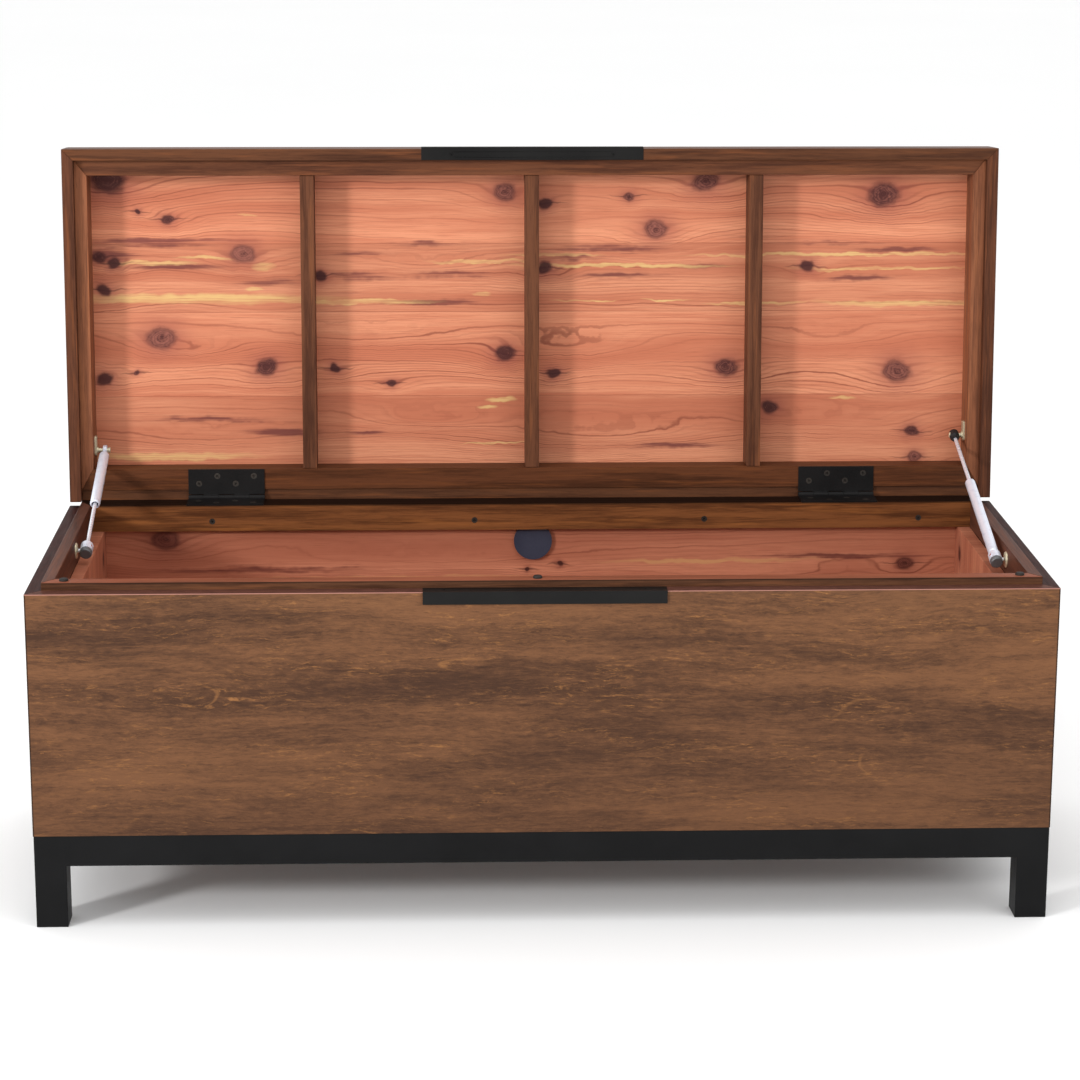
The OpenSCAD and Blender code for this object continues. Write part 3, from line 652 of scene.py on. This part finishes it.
# name, grain, tones, seed, nodes, and where the top face has painted light, its height and painted
# colour
WOODS = (
    ("rim_long", SAME, LIP, 2.0, ("rim_rail_front",), rim_top, PAINTED_HIGHLIGHT_TOP),
    ("rim_rear", SAME, REAR, 3.0, ("rim_rail_rear",), rim_top, PAINTED_SHADE_TOP),
    ("rim_short", ACROSS, SIDE_LIP, 4.0, ("rim_rail_left", "rim_rail_right")),
    ("plain_ply", SAME, LIP, 5.0, ("bottom_panel", "lining_battens")),
    ("board_long", CLOSE, OUTER, 6.0, ("lid_board_front", "lid_board_rear")),
    ("board_short", LID_DEEP, OUTER_SHORT, 8.0, ("lid_board_left", "lid_board_right")),
    ("strip_front", CLOSE, INNER, 10.0, ("lid_strip_front",)),
    ("strip_rear", CLOSE, HINGE_STRIP, 11.0, ("lid_strip_rear",)),
    ("strip_short", LID_DEEP, INNER_SIDE_PAINTED_LIGHT, 12.0, ("lid_strip_left", "lid_strip_right")),
    ("dividers", LID_DEEP, DIVIDER, 14.0,
     ("lid_divider_left", "lid_divider_centre", "lid_divider_right")),
)
for name, matrix, tones, seed, nodes, *upper in WOODS:
    wood = rail_wood(name, matrix, *tones, seed, *upper)
    for node in nodes:
        soften(dress(node, wood), 1.0)

# ---- cedar: knots and streaks in millimetres, x along the board --------------------------

LID_JOINTS = (128, 240, 330)
LID_KNOTS = (
    (-477, 363, 7, 0.6), (-379, 317, 13, 0.1), (-489, 206, 17, 0.25), (-351, 166, 12, 0.6),
    (-563, 270, 9, 0.9), (-564, 152, 10, 0.9), (-568, 313, 8, 0.7), (-550, 305, 7, 0.8),
    (-556, 414, 20, 0.7), (-517, 372, 4, 0.9), (-522, 160, 4, 0.6),
    (-34, 397, 12, 0.3), (-35, 185, 11, 0.75), (-260, 166, 6, 0.9), (-279, 289, 8, 0.9),
    (-186, 144, 5, 0.7), (18, 383, 8, 0.8), (165, 348, 13, 0.25), (230, 410, 15, 0.4),
    (18, 296, 9, 0.8), (29, 158, 7, 0.9), (260, 165, 13, 0.5), (131, 393, 6, 0.4),
    (467, 393, 17, 0.5), (366, 299, 8, 0.8), (490, 159, 16, 0.35), (319, 111, 10, 0.7),
    (511, 79, 8, 0.6), (513, 43, 7, 0.3),
)
LID_STREAKS = (
    (-440, 258, 170, 6.5), (-225, 253, 95, 3.5), (-64, 264, 11, 2.6), (-40, 122, 18, 3.2),
    (-58, 113, 14, 2.4), (-45, 65, 45, 1.2), (-60, 306, 70, 2.2), (-372, 368, 12, 1.3),
    (-500, 305, 55, 3), (-430, 312, 35, 1.8), (-352, 301, 14, 5), (-366, 271, 12, 2.4),
    (-480, 48, 110, 5), (120, 300, 130, 2.4), (30, 314, 60, 2.2), (420, 314, 190, 2.0),
    (500, 250, 110, 4), (418, 122, 16, 2), (460, 296, 110, 2.2), (70, 254, 40, 1.2),
    (180, 254, 30, 1.2), (300, 250, 60, 2.2),
)
LID_FLAMES = (
    (-490, 331, 100, 7), (-345, 280, 62, 9), (-470, 300, 70, 6), (-556, 314, 40, 14),
    (-138, 328, 60, 5), (-230, 317, 60, 5), (-230, 287, 60, 7), (-110, 290, 80, 6),
    (-130, 252, 70, 5), (-420, 97, 90, 5), (-330, 80, 50, 7), (-215, 78, 30, 4),
    (120, 324, 90, 6), (60, 310, 50, 5), (220, 300, 50, 5), (110, 287, 80, 5),
    (400, 330, 90, 5), (480, 320, 70, 5), (430, 283, 60, 5), (180, 60, 70, 5),
)
LID_ARCHES = ((90, 72, 170, 24, 7), (-430, 72, 130, 20, 5), (-150, 96, 110, 16, 5),
              (400, 200, 100, 20, 5), (60, 190, 120, 26, 7), (-140, 300, 120, 16, 4),
              (430, 90, 120, 20, 6), (-230, 205, 130, 18, 5), (-430, 190, 70, 14, 4))
CASE_KNOTS = ((-484, 372, 15, 0.1), (495, 335, 9, 0.3), (-8, 330, 3, 0.8), (36, 336, 3, 0.8),
              (-250, 300, 12, 0.5), (300, 260, 14, 0.4), (-80, 190, 16, 0.4), (430, 180, 10, 0.8),
              (-380, 200, 9, 0.8))
CASE_ARCHES = ((-150, 345, 260, 16, 5), (280, 320, 220, 14, 4), (0, 250, 300, 22, 6),
               (-300, 180, 220, 20, 6))
CASE_FLAMES = ((-330, 330, 160, 6), (60, 318, 120, 5), (400, 345, 110, 5), (-100, 222, 180, 6))
SIDE_KNOTS = ((355, 168, 8, 0.6), (250, -40, 14, 0.5), (330, -150, 10, 0.7), (180, 120, 12, 0.5))
FLOOR_KNOTS = ((-420, -80, 14, 0.5), (-120, 100, 10, 0.8), (210, -130, 15, 0.4), (360, 60, 9, 0.8),
               (20, -20, 11, 0.6))
cedar_lid = cedar("cedar_lid", LID_FLAT, LID_CEDAR, (0.95, 1.03, 0.97, 1.09), LID_JOINTS, LID_KNOTS,
                  LID_STREAKS, LID_FLAMES, LID_ARCHES, 0.4)
cedar_long = cedar("cedar_long", ALONG_X_UP, CASE_CEDAR, (0.94, 1.0, 1.04), (218, 303), CASE_KNOTS,
                   ((-150, 318, 200, 4), (240, 340, 140, 3), (100, 240, 220, 5)),
                   CASE_FLAMES, CASE_ARCHES, 5.6)
cedar_side = cedar("cedar_side", UPRIGHT, CASE_CEDAR, (1.0, 0.93, 1.03, 0.97), (-100, 0, 100),
                   SIDE_KNOTS, ((280, 60, 90, 4), (220, -120, 80, 5)), ((300, 30, 80, 6),), (), 9.3)
cedar_floor = cedar("cedar_floor", SAME, CASE_CEDAR, (1.0, 0.94, 1.04, 0.97), (-120, -20, 85),
                    FLOOR_KNOTS, ((-250, 30, 160, 5), (300, 130, 120, 4)),
                    ((100, 60, 200, 8), (-300, -150, 160, 8)), (), 13.8)
dress("lid_cedar_panel", cedar_lid)
for node, material in (("cedar_lining_front", cedar_long), ("cedar_lining_rear", cedar_long),
                       ("cedar_lining_left", cedar_side), ("cedar_lining_right", cedar_side),
                       ("cedar_floor", cedar_floor)):
    soften(dress(node, material), 0.6)

# ---- base -------------------------------------------------------------------------------

powder = coated("powder_black", (10, 10, 11), (20, 20, 21), 0.46, 0.25, gloss=0.13)
plastic = coated("cap_black", (14, 14, 14), (24, 24, 24), 0.6, 0.4, 500.0)
satin = coated("satin_black", (14, 13, 13), (26, 25, 24), 0.4, 0.15, 1200.0, gloss=0.16)
worn = coated("hinge_black", (12, 11, 11), (28, 26, 26), 0.46, 0.3, 700.0, gloss=0.14)
dull_steel = coated("screw_steel", (40, 36, 33), (72, 66, 60), 0.42, 0.3, 700.0, metallic=0.4)


SAME_LINE = 0.0005           # grid lines closer than this are one line
TUBE_WALL, CAP_DEPTH = 0.002, 0.0145


def frame_cells(boxes):
    """Grid lines through the corners of boxes, and the cells between them that a box fills."""
    cuts = []
    for k in range(3):
        values = sorted(point[k] for box in boxes for point in box)
        cuts.append([v for i, v in enumerate(values) if i == 0 or v - values[i - 1] > SAME_LINE])
    cells = set()
    for i in range(len(cuts[0]) - 1):
        for j in range(len(cuts[1]) - 1):
            for k in range(len(cuts[2]) - 1):
                middle = [(cuts[a][n] + cuts[a][n + 1]) / 2 for a, n in enumerate((i, j, k))]
                if any(all(lo[a] < middle[a] < hi[a] for a in range(3)) for lo, hi in boxes):
                    cells.add((i, j, k))
    return cuts, cells


def welded_frame(boxes):
    """The outer skin of boxes that meet, as one mesh, with a socket for a cap in each sole."""
    cuts, cells = frame_cells(boxes)
    bm = bmesh.new()
    corners = {}

    def corner(index):
        if index not in corners:
            corners[index] = bm.verts.new([cuts[a][n] for a, n in enumerate(index)])
        return corners[index]

    for cell in cells:
        for a in range(3):
            for step in (0, 1):
                beyond = list(cell)
                beyond[a] += 2 * step - 1
                if tuple(beyond) in cells:
                    continue
                b, c = [k for k in range(3) if k != a]
                ring = []
                for db, dc in ((0, 0), (1, 0), (1, 1), (0, 1)):
                    index = list(cell)
                    index[a] += step
                    index[b] += db
                    index[c] += dc
                    ring.append(corner(tuple(index)))
                bm.faces.new(ring)
    bmesh.ops.recalc_face_normals(bm, faces=bm.faces)
    soles = [f for f in bm.faces if f.normal.z < -0.9 and f.calc_center_median().z < 0.001]
    bmesh.ops.inset_individual(bm, faces=soles, thickness=TUBE_WALL)
    for face in bmesh.ops.extrude_discrete_faces(bm, faces=soles)["faces"]:
        bmesh.ops.translate(bm, verts=face.verts, vec=(0, 0, CAP_DEPTH))
    return bm


# the legs and rails are welded flush, so they are drawn as one frame with rounded outer edges
FRAME_NODES = [n for n in NODES if n.startswith(("leg_", "base_rail_"))]
bm = welded_frame([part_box(n) for n in FRAME_NODES])
soften(add_piece("base_frame", bm, "case", powder, FRAME_NODES, smooth=False), 1.6)
soften(dress("foot_caps", plastic), 0.5)
for node in ("case_pull", "lid_pull"):
    soften(dress(node, satin), 0.6)
for node in ("hinge_case_leaf_left", "hinge_case_leaf_right",
             "hinge_lid_leaf_left", "hinge_lid_leaf_right"):
    soften(dress(node, worn), 0.35, 2)
soften(dress("hinge_pins", worn), 0.4)

# ---- screws -----------------------------------------------------------------------------

# node: body, frame in which its heads are flat, the way they face, material, slot
SCREWS = {
    "hinge_case_screws": ("case", SAME, "+Z", dull_steel, "hinge_metal"),
    "hinge_lid_screws": ("lid", CLOSE, "-Z", dull_steel, "hinge_metal"),
    "case_pull_screws": ("case", SAME, "+Z", satin, "pull_metal"),
    "lid_pull_screws": ("lid", CLOSE, "-Z", satin, "pull_metal"),
    "rim_screws": ("case", SAME, "-Y", dull_steel, "pull_metal"),
}
HEAD_FIT = 0.985             # a head is a little smaller than its sink
FACING = {"+Z": Matrix.Identity(4), "-Z": Matrix.Rotation(math.pi, 4, "X"),
          "-Y": Matrix.Rotation(math.pi / 2, 4, "X")}
for node, (body, to_local, facing, material, slot) in SCREWS.items():
    bm = bmesh.new()
    for i, (lo, hi) in enumerate(merged_boxes(node, to_local)):
        centre = (lo + hi) / 2
        radius = (hi.x - lo.x) / 2
        axis = "XYZ".index(facing[1])
        centre[axis] = hi[axis] if facing[0] == "+" else lo[axis]
        turn = Matrix.Rotation(0.5 + 1.9 * i, 4, "Z")        # no two crosses lie alike
        screw_head(bm, HEAD_FIT * radius,
                   to_local.inverted() @ Matrix.Translation(centre) @ FACING[facing] @ turn)
    add_piece(node + "_heads", bm, body, material, (node,), angle=20)

# ---- bumpers and disc -----------------------------------------------------------------------

rubber = coated("bumper_rubber", (26, 22, 20), (44, 38, 34), 0.62, 0.5, 600.0)
bm = bmesh.new()
for lo, hi in merged_boxes("rim_bumpers"):
    r, h = (hi.x - lo.x) / 2 / MM, (hi.z - lo.z) / MM
    lathe(bm, [(0, 0)] + rounded([(r, 0), (r, h * 0.6), (r * 0.8, h), (0, h)], 1.0),
          Matrix.Translation(((lo.x + hi.x) / 2, (lo.y + hi.y) / 2, lo.z)))
add_piece("bumper_pads", bm, "case", rubber, ("rim_bumpers",))
soften(dress("lining_disc", coated("disc_grey", (54, 58, 74), (66, 70, 86), 0.34, 0.12, 800.0)), 1.2)

# ---- stays ------------------------------------------------------------------------------------

silver = turned("stay_silver", (240, 243, 255), (222, 226, 242), 0.34, metallic=0.3)
chrome = turned("stay_chrome", (240, 240, 248), (222, 222, 232), 0.25, metallic=0.35)
casting = coated("stay_casting", (96, 96, 98), (124, 124, 126), 0.45, 0.4, 700.0, metallic=0.4)
socket_black = coated("stay_socket", (22, 22, 24), (36, 36, 38), 0.5, 0.3)
zinc = turned("stay_zinc", (232, 222, 190), (208, 198, 168), 0.32, metallic=0.5)
orange = coated("stay_button", (196, 84, 48), (168, 66, 38), 0.5, 0.2)
seal = coated("stay_seal", (14, 14, 15), (24, 24, 25), 0.6, 0.3)

# the stays' own details in millimetres; their lengths and rods come from the CAD nodes
FOOT_R, FOOT_TOP, FOOT_END_H = 8.0, 14.0, 8.0
STUD_R = 2.5
BUTTON_R, BUTTON_LIP_R, BUTTON_UP, BUTTON_TURN = 2.0, 2.9, 13.0, 55
LEFT_TUBE_R, SHOULDER_DOWN, NECK_R = 6.5, 12.0, 3.4
EYE_R, EYE_HALF = 6.6, 2.6
ROD_PLAY = 0.3
MOUTH_DEPTH = 3.0


class Stay:
    """One telescopic stay, drawn up along z from its foot."""

    def __init__(self, side):
        self.side = side
        self.sign = -1 if side == "left" else 1
        swing, slide = JOINTS[self.name("swing")], JOINTS[self.name("slide")]
        top = Vector(swing["pos_m"])
        lo, hi = merged_boxes("stay_case_brackets")[0 if side == "left" else -1]
        foot = Vector((top.x, (lo.y + hi.y) / 2, (lo.z + hi.z) / 2))
        axis = Vector(slide["axis"]).normalized()
        lean = math.atan2(axis.z, axis.y) - math.pi / 2
        self.length = (top - foot).length / MM
        self.place = Matrix.Translation(foot) @ Matrix.Rotation(lean, 4, "X")

    def name(self, part):
        return f"stay_{self.side}_{part}"

    def box(self, part):
        return local_box(self.name(part), self.place.inverted())

    def along(self, part):
        """The lowest and highest z of a CAD part along the stay, in millimetres."""
        lo, hi = self.box(part)
        return lo.z / MM, hi.z / MM

    def radius(self, part):
        lo, hi = self.box(part)
        return (hi.y - lo.y) / 2 / MM

    def cross(self, x, z=0.0):
        """A frame with z pointing outwards across the stay, x millimetres out from its axis."""
        return (Matrix.Translation((self.sign * x * MM, 0, z * MM))
                @ Matrix.Rotation(self.sign * math.pi / 2, 4, "Y"))

    def add(self, part, half, material, slot, *turned_parts, replaced=()):
        """A piece of turned parts, each (profile, matrix, steps), on the lower or upper half."""
        bm = bmesh.new()
        for profile, matrix, steps in turned_parts:
            lathe(bm, profile, matrix, steps)
        nodes = [self.name(node) for node in replaced]
        add_piece(self.name(part), bm, self.name(half), material, nodes, matrix=self.place)


def tube_profile(low, high, r, bore):
    """A cylinder with its closed end at the top and a rolled mouth round the rod at the bottom."""
    floor_z = low + MOUTH_DEPTH
    return [(0, floor_z)] + rounded([(bore, floor_z), (bore + 0.9, floor_z), (bore + 1.6, low),
                                     (r - 1.0, low), (r, low + 2.2), (r, high - 3.0),
                                     (r - 2.0, high), (0, high)], 0.8)


def add_foot(stay):
    """A dark end, a silver cap with its stud, and a small orange button in a lipped hole."""
    low, high = stay.along("foot")
    high = min(high, FOOT_TOP)
    end_r, end_top = FOOT_R - 0.5, low + FOOT_END_H
    end = [(0, low)] + rounded([(end_r - 1.3, low), (end_r, low + 1.4), (end_r, end_top),
                                (0, end_top)], 0.7)
    stay.add("foot_end", "lower", casting, "stay_fitting", (end, SAME, 56))
    cap_low = end_top - 1.5
    cap = [(0, cap_low)] + rounded([(FOOT_R, cap_low), (FOOT_R, high - 2), (FOOT_R - 2.4, high),
                                    (0, high)], 0.8)
    stay.add("foot_cap", "lower", silver, "stay_fitting", (cap, SAME, 56), replaced=("foot",))

    # the stud starts inside the cap and ends where the CAD foot ends
    lo, hi = stay.box("foot")
    sunk = 2.0
    tip = max(abs(lo.x), abs(hi.x)) / MM - FOOT_R + sunk
    stud = [(0, 0)] + rounded([(STUD_R, 0), (STUD_R, tip - 0.5), (STUD_R - 0.6, tip), (0, tip)], 0.3)
    stay.add("stud", "lower", chrome, "stay_fitting", (stud, stay.cross(FOOT_R - sunk), 32))

    # the button faces the inside and the front
    button_at = (Matrix.Translation((0, 0, (low + BUTTON_UP) * MM))
                 @ Matrix.Rotation(-math.radians(90 + BUTTON_TURN * stay.sign), 4, "Z")
                 @ Matrix.Rotation(math.pi / 2, 4, "Y"))
    lip = rounded([(0, FOOT_R - 2), (BUTTON_LIP_R, FOOT_R - 2), (BUTTON_LIP_R, FOOT_R + 0.5),
                   (BUTTON_R, FOOT_R + 0.5), (BUTTON_R, FOOT_R - 0.4), (0, FOOT_R - 0.4)], 0.25)
    stay.add("foot_lip", "lower", silver, "stay_fitting", (lip, button_at, 28))
    button = block(BUTTON_R - 0.05, FOOT_R - 1, FOOT_R, 0.25)
    stay.add("foot_button", "lower", orange, "stay_fitting", (button, button_at, 28))


def add_cylinder_and_rod(stay):
    """The left cylinder hangs from the lid with an eye. The right one stands on its foot."""
    low, high = stay.along("cylinder")
    rod_low, rod_high = stay.along("rod")
    rod_r = stay.radius("rod")
    if stay.side == "left":
        tube_half, rod_half = "upper", "lower"
        shoulder = stay.length - SHOULDER_DOWN
        eye = [(0, -EYE_HALF)] + rounded([(EYE_R, -EYE_HALF), (EYE_R, EYE_HALF), (0, EYE_HALF)], 0.6)
        tube = ((tube_profile(low, shoulder, LEFT_TUBE_R, rod_r + ROD_PLAY), SAME, 56),
                (block(NECK_R, shoulder - 1, shoulder + 5, 0.4), SAME, 32),
                (eye, stay.cross(0.0, stay.length), 40))
        seal_z = low + MOUTH_DEPTH + 0.2
    else:
        tube_half, rod_half = "lower", "upper"
        flip = Matrix.Translation((0, 0, (low + high) * MM)) @ Matrix.Rotation(math.pi, 4, "X")
        tube_r = stay.radius("cylinder")
        tube = ((tube_profile(low, high, tube_r, rod_r + ROD_PLAY), flip, 56),)
        seal_z = high - MOUTH_DEPTH - 0.2
    stay.add("cylinder_body", tube_half, silver, "stay_cylinder", *tube, replaced=("cylinder",))
    seal_at = Matrix.Translation((0, 0, seal_z * MM))
    stay.add("seal", tube_half, seal, "head_plastic", (block(rod_r + 1.1, -0.8, 0.8, 0.2), seal_at, 40))
    bar = block(rod_r, rod_low, rod_high, 0.4)
    stay.add("rod_bar", rod_half, chrome, "stay_rod", (bar, SAME, 40), replaced=("rod",))


def add_head(stay):
    """The black ball socket at the top of the right stay."""
    low, high = stay.along("head")
    socket = [(0, low)] + rounded([(4.2, low), (5.2, low + 4), (6.5, low + 6), (6.5, high - 2),
                                   (4.5, high), (0, high)], 0.8)
    stay.add("head_socket", "upper", socket_black, "head_plastic", (socket, SAME, 48),
             replaced=("head",))


for side in ("left", "right"):
    stay = Stay(side)
    add_foot(stay)
    add_cylinder_and_rod(stay)
    if side == "right":
        add_head(stay)

# ---- stay brackets: round flanges on the rim rails, plates on the lid strips ------------------

# all in millimetres, but the angles of the flange's screws in radians
HUB_R, HUB_TIP_R, FLANGE_RIM = 5.0, 4.0, 0.8
FLANGE_SCREWS, FLANGE_SCREW_AT, FLANGE_SCREW_R = (0.6, 2.7, 4.8), 7.0, 1.9
PLATE_T, PLATE_CORNER, PLATE_CORNER_STEPS = 2.5, 3.0, 5
PLATE_SCREWS, PLATE_SCREW_R = (4.0, 11.0), 2.3
PIN_AT, PIN_BASE_R, PIN_R, PIN_HEAD_R = 19.0, 4.5, 2.98, 3.9


def inward(sign, x, y, z):
    """A frame at a point on a side wall, its z pointing to the middle of the chest."""
    return Matrix.Translation((x, y, z)) @ Matrix.Rotation(-sign * math.pi / 2, 4, "Y")


def add_flange(bm, lo, hi):
    sign = 1 if lo.x > 0 else -1
    wall = hi.x if sign > 0 else lo.x
    r, t = (hi.z - lo.z) / 2 / MM, (hi.x - lo.x) / MM
    face = inward(sign, wall, (lo.y + hi.y) / 2, (lo.z + hi.z) / 2)
    lathe(bm, [(0, 0)] + rounded([(r, 0), (r, t * 0.5), (r - 1.0, t * FLANGE_RIM),
                                  (HUB_R, t * FLANGE_RIM), (HUB_TIP_R, t), (0, t)], 0.5), face, 48)
    for turn in FLANGE_SCREWS:
        at = (FLANGE_SCREW_AT * MM * math.cos(turn), FLANGE_SCREW_AT * MM * math.sin(turn),
              t * (FLANGE_RIM + 0.02) * MM)
        screw_head(bm, FLANGE_SCREW_R * MM,
                   face @ Matrix.Translation(at) @ Matrix.Rotation(turn, 4, "Z"))


def add_plate(bm, lo, hi):
    """A plate with round corners, its two screws and the pin for the stay. lo and hi are with
    the lid closed."""
    sign = 1 if lo.x > 0 else -1
    wall, tip = (hi.x, lo.x) if sign > 0 else (lo.x, hi.x)
    face = wall - sign * PLATE_T * MM
    mid_z = (lo.z + hi.z) / 2
    r = PLATE_CORNER * MM
    outline = []
    for y, z, start in ((hi.y - r, hi.z - r, 0), (lo.y + r, hi.z - r, 90),
                        (lo.y + r, lo.z + r, 180), (hi.y - r, lo.z + r, 270)):
        for i in range(PLATE_CORNER_STEPS + 1):
            a = math.radians(start + 90 * i / PLATE_CORNER_STEPS)
            outline.append((y + r * math.cos(a), z + r * math.sin(a)))
    back = [bm.verts.new(OPEN @ Vector((wall, y, z))) for y, z in outline]
    front = [bm.verts.new(OPEN @ Vector((face, y, z))) for y, z in outline]
    for i in range(len(outline)):
        j = (i + 1) % len(outline)
        bm.faces.new((back[i], back[j], front[j], front[i]))
    bm.faces.new(back)
    bm.faces.new(front[::-1])
    reach = abs(tip - wall) / MM
    pin = [(0, 0)] + rounded([(PIN_BASE_R, 0), (PIN_BASE_R, 4.0), (PIN_R, 4.6), (PIN_R, reach - 2.2),
                              (PIN_HEAD_R, reach - 2.0), (PIN_HEAD_R, reach - 0.8),
                              (PIN_HEAD_R - 0.9, reach), (0, reach)], 0.3)
    lathe(bm, pin, OPEN @ inward(sign, wall, lo.y + PIN_AT * MM, mid_z), 36)
    for along in PLATE_SCREWS:
        screw_head(bm, PLATE_SCREW_R * MM, OPEN @ inward(sign, face, lo.y + along * MM, mid_z))


bm = bmesh.new()
for lo, hi in merged_boxes("stay_case_brackets"):
    add_flange(bm, lo, hi)
add_piece("stay_flanges", bm, "case", zinc, ("stay_case_brackets",), angle=25)

bm = bmesh.new()
for lo, hi in merged_boxes("stay_lid_brackets", CLOSE):
    add_plate(bm, lo, hi)
add_piece("stay_plates", bm, "lid", zinc, ("stay_lid_brackets",), angle=25)

# ---- floor, light and camera ------------------------------------------------------------------

floor_shader = Shader("studio_floor")
cloudy = floor_shader.noise(floor_shader.coords, 0.6, 2)
floor_color = floor_shader.mix(cloudy, linear((249, 249, 249), 1), linear((252, 252, 252), 1))
floor_shader.finish(floor_color, 0.7)
bpy.ops.mesh.primitive_plane_add(size=80, location=(0, 15, -0.0002))
floor = bpy.context.object
floor.name = "studio_floor"
floor.data.materials.append(floor_shader.mat)

world = bpy.data.worlds.new("studio")
bpy.context.scene.world = world
world.use_nodes = True
world.node_tree.nodes["Background"].inputs["Color"].default_value = (1, 1, 1, 1)
world.node_tree.nodes["Background"].inputs["Strength"].default_value = 1.03


def soft_light(name, place, aim, size, power):
    """A round area light at a place, turned to an aim."""
    data = bpy.data.lights.new(name, "AREA")
    data.shape = "DISK"
    data.size = size
    data.energy = power
    obj = bpy.data.objects.new(name, data)
    bpy.context.scene.collection.objects.link(obj)
    obj.location = place
    obj.rotation_euler = (Vector(aim) - Vector(place)).to_track_quat("-Z", "Y").to_euler()


soft_light("key", (-4.6, -3.8, 2.2), (0, 0.1, 0.5), 0.9, 190)
soft_light("fill", (3.5, -4.5, 2.6), (0, 0, 0.4), 2.5, 20)
soft_light("top", (0, -1.0, 4.2), (0, 0.1, 0.4), 2.5, 30)

LENS, SENSOR = 99.7467, 36.0             # millimetres
EYE = Vector((-0.13045, -3.6336, 1.29875))
YAW, PITCH, ROLL = (math.radians(a) for a in (2.089, 13.605, 0.163))
ahead = Vector((math.sin(YAW) * math.cos(PITCH), math.cos(YAW) * math.cos(PITCH), -math.sin(PITCH)))
right = Vector((math.cos(YAW), -math.sin(YAW), 0))
up = right.cross(ahead)
right, up = (right * math.cos(ROLL) + up * math.sin(ROLL), up * math.cos(ROLL) - right * math.sin(ROLL))
camera_data = bpy.data.cameras.new("camera")
camera_data.sensor_width = SENSOR
camera_data.lens = LENS
camera = bpy.data.objects.new("camera", camera_data)
bpy.context.scene.collection.objects.link(camera)
camera.matrix_world = Matrix.Translation(EYE) @ Matrix((right, up, -ahead)).transposed().to_4x4()
bpy.context.scene.camera = camera
bpy.context.scene.view_settings.view_transform = "Standard"
